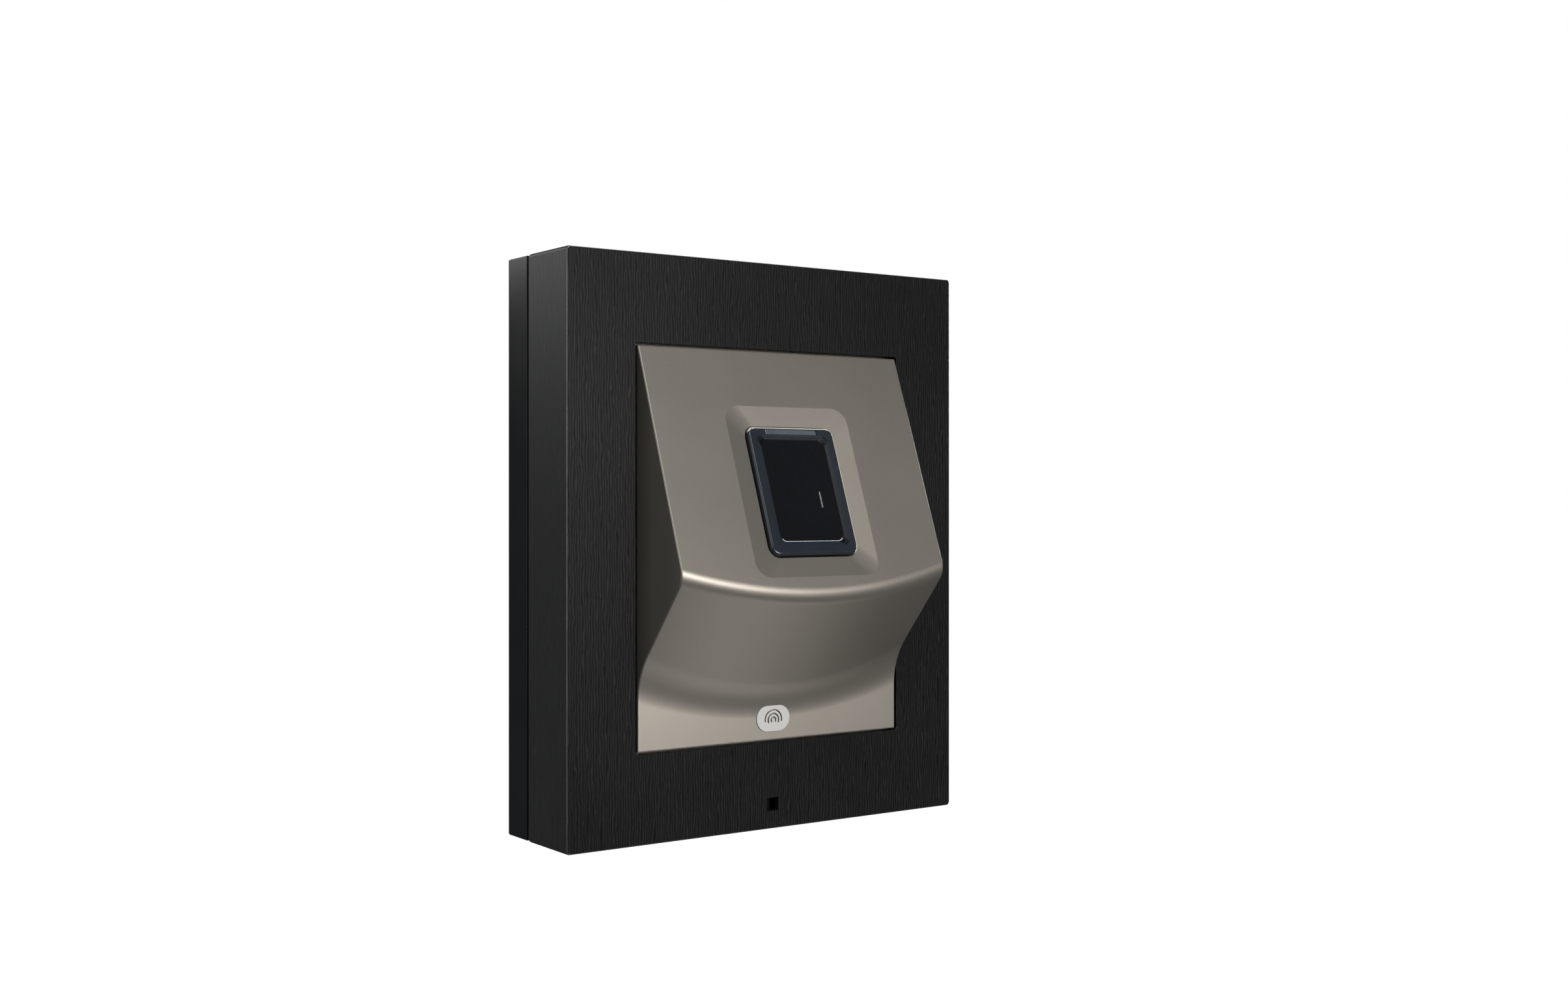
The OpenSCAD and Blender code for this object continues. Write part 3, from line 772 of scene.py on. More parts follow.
@dataclass(frozen=True)
class PanScrew:
    """Pan-head screw with a cross recess, whose head lies towards the wall."""

    head_r: float
    head_h: float
    shank_r: float
    shank_l: float
    cross_w: float = 0.62
    cross_deep: float = 0.75
    pitch: float = 0.8

    def build(self, name: str, seat: float) -> Object:
        """Builds one screw with its head's seat at that z."""
        r, h = self.head_r, self.head_h
        rings = [(seat - h, 0.5 * r), (seat - 0.95 * h, 0.72 * r), (seat - 0.78 * h, 0.9 * r)]
        rings += [(seat - 0.5 * h, 0.985 * r), (seat - 0.3 * h, r), (seat, r), (seat, self.shank_r)]
        count = int(self.shank_l / self.pitch)
        for k in range(count):
            z = seat + k * self.pitch
            rings += [(z + 0.25 * self.pitch, self.shank_r), (z + 0.75 * self.pitch, 0.78 * self.shank_r)]
        rings += [(seat + self.shank_l, 0.6 * self.shank_r)]
        screw = turned(name, rings, sides=32)
        reach, half = 0.62 * r, self.cross_w / 2
        deep = (seat - h - 1, seat - h + self.cross_deep)
        return cut(
            screw,
            block("cross", (-reach, reach), (-half, half), deep),
            block("cross", (-half, half), (-reach, reach), deep),
        )

    def fit(self, node: str, seat: float, spots: Sequence[Spot]) -> None:
        """Builds one screw, copies it to each spot and delivers the copies in place of the node."""
        first = self.build(node + "_pattern", seat)
        for k, (x, y) in enumerate(spots, 1):
            copy = duplicate(first, f"{node}_{k}", x, y)
            deliver(copy, Body.FRONT, Slot.STEEL, [node])
        bpy.data.objects.remove(first)


# ---------------------------------------------------------------- what stays on the wall


@dataclass
class BackBox:
    """Moulded box on the wall, with its seals, grommet and hinge pins."""

    rear: float = 2.5
    wall: float = 1.5
    corner: float = 0.8
    sharp: float = 0.2
    step: float = 1.7
    step_out: float = 0.5
    seal_in: float = 0.1
    seal_w: float = 1.6
    front: float = 9.2
    upstand: Extent = Extent(-50.0, 50.0, -61.5, 61.0, 0.0, 0.0)
    upstand_out: float = 15.5
    edge: float = 0.15
    groove_in: float = 0.6
    groove_w: float = 1.4
    groove_deep: float = 1.0
    hole_x: float = 36.0
    hole_y: float = 48.0
    hole_r: float = 2.25
    head_r: float = 4.4
    cable_y: float = -26.0
    grommet_r: float = 8.0
    rim_r: float = 10.0
    rim_out: float = 4.3
    cable_r: float = 4.0
    ear_w: float = 5.0
    knuckle_r: float = 1.5
    pin_r: float = 0.75
    lock_r: float = 2.4
    lock_in: float = 0.7
    stud: Spot = (22.0, -24.0)
    stud_r: float = 2.5
    stud_out: float = 6.0
    rib_out: float = 3.1
    rib_w: float = 1.0
    ribs_x: Spot = (-47.5, 47.5)
    ribs_y: Spot = (-58.0, 57.0)
    lip: float = 0.1

    def build(self) -> None:
        """Builds and delivers every piece on the wall."""
        self.box()
        self.seals()
        self.grommet()
        self.pins()

    def box(self) -> None:
        """The box itself: shell, upstand, ears, ribs and holes."""
        box = Extent.of("back_box")
        up = self.upstand
        wide = Extent.of("wall_seal")
        w, h = wide.width + 2 * self.seal_in, wide.height + 2 * self.seal_in
        shell = slab(
            "back_box", w, h, self.sharp,
            rounded_start(self.step_out, 0.12, 2) + rounded_end(self.front, self.edge, 3), steps=4)
        weld(
            shell,
            slab("step", w - 2 * self.step, h - 2 * self.step, self.corner,
                 [(box.z0, 0), (self.step_out + 0.5, 0)]),
            slab("upstand", up.width, up.height, self.corner,
                 [(self.front - 1, 0), *rounded_end(self.upstand_out, 0.4, 3)], y=up.y),
        )
        for sign in (-1, 1):
            self.ear(shell, sign * HINGE.ear_x)
        inner_w, inner_h = up.width - 2 * self.wall, up.height - 2 * self.wall
        cut(shell, slab("hollow", inner_w, inner_h, 1.2, [(self.rear, 0.6), (self.rear + 0.6, 0),
                                                         (self.upstand_out + 1, 0)], y=up.y))
        cut(shell, self.groove_ring(w, h))
        self.ribs(shell)
        weld(shell, turned("stud", [(self.rear - 0.5, self.stud_r + 0.4), (self.rear + 0.8, self.stud_r),
                                    (self.stud_out - 0.4, self.stud_r), (self.stud_out, self.stud_r - 0.4)],
                           *self.stud))
        holes = [turned("hole", [(-1, self.hole_r), (self.rib_out - 1.2, self.hole_r),
                                 (self.rib_out + 0.1, self.head_r - 1.0), (5, self.head_r - 1.0)], x, y)
                 for x, y in corners(self.hole_x, self.hole_y)]
        cut(shell, *holes, drill(self.grommet_r, (-1, 6), 0, self.cable_y, 56))
        cut(shell, turn_to(drill(self.lock_r, (-3, 3)), HINGE.lock(up.y0 + self.lock_in)))
        cut(shell, *[self.pin("pin", sign * HINGE.ear_x) for sign in (-1, 1)])
        deliver(shell, Body.BACK, Slot.BOX, ["back_box"])

    def pin(self, name: str, x: float) -> Object:
        """Hinge pin at that x, with slightly rounded ends."""
        nose = 0.25 * self.pin_r
        half = HINGE.pin_l / 2
        rings = [(-half, self.pin_r - nose), (-half + nose, self.pin_r), (half - nose, self.pin_r),
                 (half, self.pin_r - nose)]
        return turn_to(turned(name, rings, sides=32), HINGE.across(x))

    def ear(self, shell: Object, x: float) -> None:
        """One hinge ear, welded on."""
        half, r = self.ear_w / 2, self.knuckle_r
        z = (self.front - 2, HINGE.out)
        foot = block("ear", (x - half, x + half), (HINGE.y - r, HINGE.y + r - 0.5), z)
        weld(shell, foot, turn_to(drill(r, (-half, half), sides=32), HINGE.across(x)))

    def groove_ring(self, w: float, h: float) -> Object:
        """Tool for the seal's groove in the front edge."""
        low, high = self.front - self.groove_deep, self.front + 0.01
        a, b = 2 * self.groove_in, 2 * (self.groove_in + self.groove_w)
        ring = slab("groove", w - a, h - a, self.corner, [(low, 0), (high, 0)])
        return cut(ring, slab("inside", w - b, h - b, self.corner, [(low - 1, 0), (high + 1, 0)]))

    def ribs(self, shell: Object) -> None:
        """Shallow ribs over the rear wall, and a raised ring round each hole."""
        low = self.rear - 0.4
        half = self.rib_w / 2
        z = (low, self.rib_out - 0.3)
        bars = [block("rib", (x - half, x + half), self.ribs_y, z) for x in (-18.0, 18.0)]
        bars += [block("rib", self.ribs_x, (y - half, y + half), z) for y in (-44.0, 4.0, 30.0)]
        rings = [turned("ring", [(low, self.head_r + 0.6), (self.rib_out, self.head_r)], x, y)
                 for x, y in corners(self.hole_x, self.hole_y)]
        weld(shell, *bars, *rings)

    def seals(self) -> None:
        """The wall seal with its soft lip."""
        box = Extent.of("wall_seal")
        w, h, lip = box.width, box.height, self.lip
        outer = [(box.z0, lip), (box.z0 + lip, 0), (box.z1 - lip, 0), (box.z1, lip)]
        seal = slab("wall_seal", w, h, self.sharp, outer, steps=4)
        inside = 2 * self.seal_w
        cut(seal, slab("inside", w - inside, h - inside, self.corner, [(-1, 0), (2, 0)]))
        deliver(seal, Body.BACK, Slot.RUBBER, ["wall_seal"])

    def grommet(self) -> None:
        """Soft grommet with folds round the cable's way in."""
        r, rim = self.grommet_r, self.rim_r
        rings = [(0, r - 0.2), (0.2, r), (self.rear, r), (self.rear, rim - 0.2), (self.rear + 0.25, rim)]
        rings += [(self.rim_out - 0.5, rim - 0.1), (self.rim_out - 0.1, rim - 0.6), (self.rim_out, rim - 1.0)]
        rings += [(self.rim_out, 7.2), (self.rim_out - 0.7, 6.6), (self.rim_out - 0.7, 6.1)]
        rings += [(self.rim_out, 5.5), (self.rim_out, 5.0)]
        body = turned("cable_grommet", rings, 0, self.cable_y, 56)
        bore = [(-1, 4.4), (0.2, 4.1), (0.8, self.cable_r), (1.3, self.cable_r), (1.7, 4.5), (2.2, 4.5)]
        bore += [(2.6, self.cable_r), (3.2, self.cable_r), (3.9, 4.2), (5, 4.8)]
        cut(body, turned("bore", bore, 0, self.cable_y, 56))
        deliver(body, Body.BACK, Slot.RUBBER, ["cable_grommet"])

    def pins(self) -> None:
        """The two hinge pins."""
        for name, x in (("hinge_pin_left", -HINGE.ear_x), ("hinge_pin_right", HINGE.ear_x)):
            deliver(self.pin(name, x), Body.BACK, Slot.STEEL, ["hinge_pins"])


# ---------------------------------------------------------------- the metal front frame


@dataclass
class FrontFrame:
    """Brushed black frame that swings on the back box, with its port and lock screw."""

    plate: float = 3.0
    wall: float = 3.0
    corner: float = 0.8
    face_edge: float = 0.4
    rear_edge: float = 0.8
    window_w: float = 73.0
    window_h: float = 90.0
    window_edge: float = 0.18
    port_side: float = 3.0
    port_up: float = 5.6
    notch_half: float = 3.0
    notch_r: float = 1.9
    notch_low: float = 8.0
    pin_r: float = 0.8
    boss_r: float = 3.0
    boss_x: float = 45.4
    boss_y: float = 22.0
    boss_back: float = 22.2
    pilot_r: float = 1.25
    pilot_deep: float = 3.8
    lock_hole_r: float = 2.05
    lock_in: float = 1.5
    lead_in: float = 0.3
    end_lean: float = 0.72
    # Range of the normal's z over which the outer front edge gets the painted glint.
    glint_from: float = 0.3
    glint_to: float = 0.96
    edge_x: float = 41.5
    edge_y: float = 63.0
    membrane_hole: float = 2.6
    thread_pitch: float = 0.5

    def build(self) -> None:
        """Builds and delivers the frame and its small pieces."""
        self.shell()
        self.port()
        self.lock()

    def shell(self) -> None:
        """The frame itself."""
        box = Extent.of("front_frame")
        w, h, face = box.width, box.height, box.z1
        shell = slab(
            "front_frame", w, h, self.corner,
            rounded_start(box.z0, self.rear_edge, 7) + rounded_end(face, self.face_edge, 4), steps=6)
        inside = face - self.plate
        lead = self.lead_in
        cut(shell, slab("cavity", w - 2 * self.wall, h - 2 * self.wall, self.corner,
                        [(box.z0 - 1, -lead), (box.z0, -lead), (box.z0 + lead, 0), (inside - lead, 0),
                         (inside, lead)]))
        low, r = self.boss_back, self.boss_r
        bosses = [turned("boss", [(low, r - lead), (low + lead, r), (inside + 0.5, r)], x, y, 32)
                  for x, y in corners(self.boss_x, self.boss_y)]
        weld(shell, *bosses)
        flare = self.window_edge
        cut(
            shell,
            slab("window", self.window_w, self.window_h, self.corner,
                 [(inside - 1, 0), (face - flare, 0), (face - 0.3 * flare, -0.3 * flare), (face, -flare),
                  (face + 1, -flare)]),
            slab("port", self.port_side, self.port_side, 0.1,
                 [(inside - 1, 0), (face - 0.1, 0), (face, -0.1), (face + 1, -0.1)],
                 y=box.y0 + self.port_up, steps=2),
            *[drill(self.pilot_r, (low - 1, low + self.pilot_deep), x, y, 24)
              for x, y in corners(self.boss_x, self.boss_y)],
            turn_to(drill(self.lock_hole_r, (-4, 4)), HINGE.lock(box.y0 + self.lock_in)),
        )
        for sign in (-1, 1):
            self.notch(shell, sign * HINGE.ear_x, box.y1)
        self.brush(shell)
        deliver(shell, Body.FRONT, Slot.BRUSHED, ["front_frame"])

    def notch(self, shell: Object, x: float, top: float) -> None:
        """Room for one hinge ear, and the hole for its pin."""
        side = (x - self.notch_half, x + self.notch_half)
        deep = (self.notch_low, HINGE.out + self.notch_r)
        room = block("notch", side, (HINGE.y - self.wall, top + 1), deep)
        half = HINGE.pin_l / 2
        cut(shell, room, turn_to(drill(self.pin_r, (-half, half), sides=24), HINGE.across(x)))

    def brush(self, shell: Object) -> None:
        """Gives the ends their own brushing, the outer sides a lighter copy whose colour is painted sheen,
        and the front's folded outer edge a pale copy that is a painted glint.
        """
        for finish in (FINISHES[Slot.BRUSHED], BRUSHED_ENDS, SIDES_PAINTED_SHEEN, EDGE_PAINTED_GLINT):
            shell.data.materials.append(SHELF.take(finish))
        front = Extent.of("front_frame").z1 - self.face_edge - 0.01
        for face in shell.data.polygons:
            x, y, z = (abs(part) for part in face.normal)
            outside = abs(face.center.x) > self.edge_x or abs(face.center.y) > self.edge_y
            # Rounded outer front edge: the pale copy with the painted glint.
            if outside and face.center.z > front and self.glint_from < z < self.glint_to:
                face.material_index = 3
            elif y > self.end_lean:
                face.material_index = 1
            # Outer sides: the copy with painted sheen.
            elif outside and x > self.end_lean:
                face.material_index = 2

    def port(self) -> None:
        """Membrane and its retainer behind the square port."""
        film = Extent.of("port_membrane")
        side = film.width
        disc = slab("port_membrane", side, side, 0.4, [(film.z0, 0), (film.z1 - 0.1, 0), (film.z1, 0.1)],
                    film.x, film.y)
        deliver(disc, Body.FRONT, Slot.MEMBRANE, ["port_membrane"])
        hold = Extent.of("port_retainer")
        ring = slab("port_retainer", hold.width, hold.height, 0.4,
                    [(hold.z0, 0.2), (hold.z0 + 0.2, 0), (hold.z1, 0)], hold.x, hold.y)
        hole = self.membrane_hole
        cut(ring, slab("hole", hole, hole, 0.3, [(hold.z0 - 1, 0), (hold.z1 + 1, 0)], hold.x, hold.y))
        deliver(ring, Body.FRONT, Slot.TRAY, ["port_retainer"])

    def lock(self) -> None:
        """Grub screw with a thread and a hexagon socket, in the lower wall."""
        box = Extent.of("lock_screw")
        r, length = box.width / 2, box.height
        rings = [(0, r - 0.35), (0.3, r)]
        pitch = self.thread_pitch
        for k in range(int((length - 0.6) / pitch)):
            z = 0.3 + k * pitch
            rings += [(z + 0.1, r), (z + 0.25, r - 0.22), (z + 0.4, r)]
        rings += [(length - 0.25, r), (length, r - 0.4)]
        screw = turned("lock_screw", rings)
        cut(screw, turned("key", [(-1, 1.2), (1.3, 1.2), (1.6, 0.5)], sides=6))
        spot = Matrix.Translation((0, box.y0, HINGE.lock_out)) @ Matrix.Rotation(math.radians(-90), 4, "X")
        deliver(screw, Body.LOCK, Slot.STEEL, ["lock_screw"], spot)


# ---------------------------------------------------------------- the cast reader fascia


@dataclass
class Fascia:
    """Cast satin cover that stands out in a hump, with the recess round the sensor and the badge."""

    slope: Slope
    width: float = 72.0
    half_h: float = 44.6
    face: float = 28.0
    back: float = 22.2
    flange_w: float = 80.0
    flange_h: float = 97.0
    flange_t: float = 2.0
    wall: float = 2.2
    low_slope: float = math.radians(40.6)
    ridge_y: float = -10.8
    ridge_sag: float = 4.9
    ridge_r: float = 4.2
    foot_r: float = 13.0
    foot_more: float = 3.5
    stations: int = 56
    ridge_steps: int = 20
    foot_steps: int = 16
    rim: float = 0.32
    flat: float = 0.999998
    sharp_past: float = 4.5
    recess_w: float = 33.8
    recess_h: float = 40.5
    recess_r: float = 2.8
    recess_deep: float = 0.7
    hole_w: float = 24.0
    hole_h: float = 30.6
    badge_y: float = -39.6
    badge_w: float = 9.2
    badge_h: float = 6.0
    line_w: float = 0.38
    lines: Profile = ((2.3, 200.0), (1.45, 235.0), (0.62, 275.0))
    lines_down: float = 0.35
    badge_in: float = 0.3
    badge_out: float = 0.28

    def outline(self, x: float) -> list[Spot]:
        """Front outline at one x, from the top down.

        Args:
            x: place across the fascia.

        Returns:
            (y, z) pairs: the top, the ridge's arc, the foot's arc and the low edge.
        """
        a, b = self.slope.angle, self.low_slope
        side = (2 * x / self.width) ** 2
        zv = self.ridge_y + self.ridge_sag * side
        pv = (self.half_h - zv) * math.tan(a)
        r = self.ridge_r
        reach = r * math.tan((a + b) / 2)
        cp = pv - reach * math.sin(a) - r * math.cos(a)
        cz = zv + reach * math.cos(a) - r * math.sin(a)
        fr = self.foot_r + self.foot_more * side
        fz = zv - pv / math.tan(b) - fr * math.tan(b / 2)
        points = [(self.half_h, 0.0)]
        for k in range(self.ridge_steps + 1):
            t = a - (a + b) * k / self.ridge_steps
            points.append((cz + r * math.sin(t), cp + r * math.cos(t)))
        for k in range(self.foot_steps + 1):
            t = b * (1 - k / self.foot_steps)
            points.append((fz + fr * math.sin(t), fr - fr * math.cos(t)))
        points.append((-self.half_h, 0.0))
        return [(y, self.face + p) for y, p in points]

    def build(self) -> Object:
        """Builds and delivers the badge and the cover, and returns the cover."""
        self.badge()
        return self.cover()

    def sheet(self) -> Object:
        """Grid laid on the outline, facing out."""
        rows = len(self.outline(0.0))
        bpy.ops.object.select_all(action="DESELECT")
        bpy.ops.mesh.primitive_grid_add(x_subdivisions=self.stations, y_subdivisions=rows - 1, size=1)
        sheet = named("reader_fascia")
        lines = {}
        for vertex in sheet.data.vertices:
            station = round((vertex.co.x + 0.5) * self.stations)
            row = round((0.5 - vertex.co.y) * (rows - 1))
            x = self.width * (station / self.stations - 0.5)
            line = lines.setdefault(station, self.outline(x))
            vertex.co = (x, *line[row])
        return sheet

    def cover(self) -> Object:
        """Hump, rim, wall, flange, recess and the badge's bed."""
        cover = self.sheet()
        with editing(cover, "EDGE"):
            bpy.ops.mesh.region_to_loop()
            bpy.ops.mesh.extrude_edges_move()
            bpy.ops.transform.resize(value=(1, 1, 0), center_override=(0, 0, self.back))
            bpy.ops.mesh.select_all(action="SELECT")
            bpy.ops.mesh.normals_make_consistent(inside=False)
        with editing(cover, "EDGE"):
            pick(cover, "edges", self.on_rim)
            bpy.ops.mesh.bevel(offset=self.rim, segments=4, affect="EDGES")
        lean = self.slope.angle
        outwards = Vector((0, math.sin(lean), math.cos(lean)))
        inner = self.width / 2 - self.rim
        for normal in (outwards, Vector((0, 0, 1))):
            with editing(cover, "FACE"):
                pick(cover, "faces", lambda c, n: n.dot(normal) > self.flat and abs(c.x) < inner)
                bpy.ops.mesh.dissolve_faces()
        lone(cover)
        wall = cover.modifiers.new("wall", "SOLIDIFY")
        wall.thickness = self.wall
        wall.offset = -1
        wall.use_even_offset = True
        wall.use_quality_normals = True
        bpy.ops.object.modifier_apply(modifier=wall.name)
        weld(cover, self.flange())
        cut(cover, self.funnel(), self.badge_bed())
        return deliver(cover, Body.FRONT, Slot.CAST, ["reader_fascia"], degrees=self.sharp_past)

    def on_rim(self, a: Vector, b: Vector) -> bool:
        """Whether an edge lies on the rim between the front and the sides."""
        inner, top = self.width / 2 - 0.001, self.half_h - 0.001
        if min(a.z, b.z) < self.face - 0.001:
            return False
        both_side = abs(a.x) > inner and abs(b.x) > inner and a.x * b.x > 0
        both_end = abs(a.y) > top and abs(b.y) > top and a.y * b.y > 0
        return both_side or both_end

    def flange(self) -> Object:
        """Flat flange behind the frame's plate."""
        ring = slab("flange", self.flange_w, self.flange_h, 0.8,
                    [(self.back, 0.2), (self.back + 0.2, 0), (self.back + self.flange_t, 0)])
        hole = slab("inside", self.width - 2 * self.wall + 1, 2 * (self.half_h - self.wall) + 1, 0.8,
                    [(self.back - 1, 0), (self.face, 0)])
        return cut(ring, hole)

    def funnel(self) -> Object:
        """Tool for the shallow recess and the sensor's hole, with a fine edge between them.

        Its slanted side runs straight through the slope's face: an outline in that face could cut badly.
        """
        slant = (self.recess_w - self.hole_w) / 2
        floor = -self.recess_deep
        low, edge = floor + 0.04, slant - 0.26
        steps = [(-3.6, slant), (floor - 0.3, slant), (low, edge), (0.5, 0.5 * edge / low)]
        tool = slab("funnel", self.recess_w, self.recess_h, self.recess_r, steps, steps=10)
        return turn_to(tool, self.slope.matrix())

    def badge_bed(self) -> Object:
        """Tool for the badge's bed."""
        return self.oval("bed", 0.04, [(self.face - self.badge_in, 0), (self.face + 1, 0)])

    def oval(self, name: str, more: float, profile: Profile) -> Object:
        """Stadium-shaped plate, a little bigger than the badge by more."""
        w, h = self.badge_w + 2 * more, self.badge_h + 2 * more
        return slab(name, w, h, h / 2 - 0.02, profile, 0.0, self.badge_y, 16)

    def badge(self) -> None:
        """Oval badge with nested arcs, like the lines of a fingertip."""
        z0, z1 = self.face - self.badge_in, self.face + self.badge_out
        plate = self.oval("badge", 0.0, [(z0, 0), *rounded_end(z1, 0.12, 3)])
        for radius, sweep in self.lines:
            cut(plate, self.arc(radius, sweep, (z0 + z1) / 2))
        deliver(plate, Body.FRONT, Slot.BADGE, ["badge"], degrees=30.0)

    def arc(self, radius: float, sweep: float, middle_z: float) -> Object:
        """Tool for one line: an upright square spun part of the way round, open side down."""
        upright = (math.radians(90), 0, 0)
        bpy.ops.object.select_all(action="DESELECT")
        bpy.ops.mesh.primitive_plane_add(size=1, location=(radius, 0, middle_z), rotation=upright)
        bpy.context.object.scale = (self.line_w, 2, 1)
        tool = named("line")
        with editing(tool, "FACE"):
            bpy.ops.mesh.spin(steps=28, angle=math.radians(sweep), center=(0, 0, 0), axis=(0, 0, 1))
            bpy.ops.mesh.select_all(action="SELECT")
            bpy.ops.mesh.remove_doubles(threshold=0.0001)
            bpy.ops.mesh.normals_make_consistent(inside=False)
        middle = Matrix.Translation((0.0, self.badge_y - self.lines_down, 0.0))
        return turn_to(tool, middle @ Matrix.Rotation(self.arc_turn(tool), 4, "Z"))

    def arc_turn(self, tool: Object) -> float:
        """Turn that centres an arc on straight up, whichever way the spin went."""
        total = Vector((0.0, 0.0))
        for vertex in tool.data.vertices:
            total += Vector((vertex.co.x, vertex.co.y))
        return math.pi / 2 - math.atan2(total.y, total.x)


# ---------------------------------------------------------------- the sensor


@dataclass
class Sensor:
    """Glossy bezel, dark glass, light bar and touch mark on the sloped face."""

    slope: Slope
    bezel_w: float = 23.8
    bezel_h: float = 30.4
    bezel_r: float = 1.9
    ring_w: float = 27.0
    ring_h: float = 33.6
    top: float = 0.35
    rim_r: float = 0.6
    ring_top: float = -3.0
    low: float = -4.2
    window_w: float = 17.4
    window_h: float = 24.1
    window_r: float = 1.6
    window_top: float = -0.1
    glass_low: float = -1.5
    glass_top: float = -0.2
    glass_lip: float = 0.65
    highlight_w: float = 0.13
    highlight_up: float = 0.7
    turned_in: float = 0.05
    turned_out: float = 0.28
    deep_shade_w: float = 0.25
    shade_w: float = 0.9
    rim_apart: float = 1.7
    slopes: Profile = ((0.09, 0.24), (0.2, 0.52), (0.3, 0.84), (0.37, 1.2), (0.41, 1.6))
    bar_w: float = 14.1
    bar_h: float = 1.3
    bar_y: float = 14.05
    bar_low: float = -8.8
    bar_gap: float = 0.05
    mark_x: float = 4.7
    mark_y: Spot = (-4.0, -0.15)
    mark_half: float = 0.2

    def build(self) -> None:
        """Builds and delivers the sensor's visible pieces."""
        spot = self.slope.matrix()
        deliver(self.bezel(), Body.FRONT, Slot.BEZEL, ["sensor_bezel"], spot, 28.0)
        w, h = self.window_w + 2 * self.glass_lip, self.window_h + 2 * self.glass_lip
        glass = slab("sensor_window", w, h, self.window_r,
                     [(self.glass_low, 0), *rounded_end(self.glass_top, 0.25, 3)])
        deliver(glass, Body.FRONT, Slot.GLASS, ["sensor_window"], spot)
        # The pale hairline along the glass's low edge is a painted highlight.
        deliver(self.lip(), Body.FRONT, Slot.BEZEL, (), spot, finish=WINDOW_PAINTED_HIGHLIGHT)
        bar = slab("light_bar", self.bar_w, self.bar_h, 0.25,
                   [(self.bar_low, 0), *rounded_end(self.top - 0.1, 0.18, 3)], y=self.bar_y, steps=4)
        deliver(bar, Body.FRONT, Slot.LIGHT, ["light_bar"], spot)
        y0, y1 = self.mark_y
        rise = [(self.glass_top - 0.04, 0), (self.glass_top + 0.02, 0.02)]
        mark = slab("touch_mark", 2 * self.mark_half, y1 - y0, 0.12, rise, self.mark_x, (y0 + y1) / 2, 3)
        deliver(mark, Body.FRONT, Slot.BADGE, (), spot, finish=TOUCH_GREY)

    def lip(self) -> Object:
        """Pale hairline along the low edge of the glass, turned up a little at both corners: a painted
        highlight where the bezel's lower inner edge catches the light.
        """
        w, h, t = self.window_w - 0.04, self.window_h - 0.04, self.highlight_w
        low, high = self.glass_top - 0.02, self.window_top + 0.01
        ring = slab("window_highlight_strip", w, h, self.window_r, [(low, 0), (high, 0)], steps=10)
        away = block("away", (-w, w), (self.highlight_up - h / 2, h), (low - 1, high + 1))
        return cut(ring, slab("hole", w, h, self.window_r, [(low - 1, t), (high + 1, t)], steps=10), away)

    def bezel(self) -> Object:
        """Frame round the window, sloping in to the glass."""
        body = slab("sensor_bezel", self.bezel_w, self.bezel_h, self.bezel_r,
                    [(self.ring_top - 0.2, 0), *rounded_end(self.top, self.rim_r, 6)], steps=10)
        weld(body, slab("ring", self.ring_w, self.ring_h, 2.0, [(self.low, 0), (self.ring_top, 0)]))
        grow = (self.bezel_w - 2 * self.rim_r - self.window_w) / 2
        dish = [(self.low - 1, 0), (self.window_top - 0.02, 0)]
        dish += [(self.window_top + up, -out) for up, out in self.slopes]
        dish += [(self.top - 0.01, -0.92 * grow), (self.top, -grow), (self.top + 1, -grow - 0.6)]
        cut(body, slab("dish", self.window_w, self.window_h, self.window_r, dish, steps=10))
        w, h = self.window_w + 2 * self.glass_lip + 0.1, self.window_h + 2 * self.glass_lip + 0.1
        cut(body, slab("pocket", w, h, self.window_r, [(self.low - 1, 0), (self.glass_top + 0.02, 0)]))
        half = (self.bar_w / 2 + self.bar_gap, self.bar_h / 2 + self.bar_gap)
        cut(body, post(0, self.bar_y, half, (self.low - 1, 1)))
        return self.shade(body)

    def shade(self, body: Object) -> Object:
        """Paints shade on the inner slope at the top and right, deepest nearest the glass, and a pale painted
        highlight on the rim's outer turn there.
        """
        for finish in (FINISHES[Slot.BEZEL], BEZEL_PAINTED_SHADE, BEZEL_PAINTED_DEEP_SHADE, BEZEL_RIM_PAINTED_HIGHLIGHT):
            body.data.materials.append(SHELF.take(finish))
        for face in body.data.polygons:
            x, y, z = face.center
            apart = max(abs(x) - self.window_w / 2, abs(y) - self.window_h / 2)
            turned_in = min(face.normal.x, face.normal.y) < -self.turned_in
            turned_out = max(face.normal.x, face.normal.y) > self.turned_out
            on_rim = z > self.top - self.rim_r and apart > self.rim_apart
            # Painted shade on the inner slope at the top and right: the deep copy nearest the glass, the
            # lighter one beyond.
            if turned_in and z > self.window_top and -self.window_r < apart < self.shade_w:
                face.material_index = 2 if apart < self.deep_shade_w else 1
            # Painted highlight on the rim's outer turn at the top and right.
            elif turned_out and on_rim:
                face.material_index = 3
        return body


# ---------------------------------------------------------------- the module behind the fascia


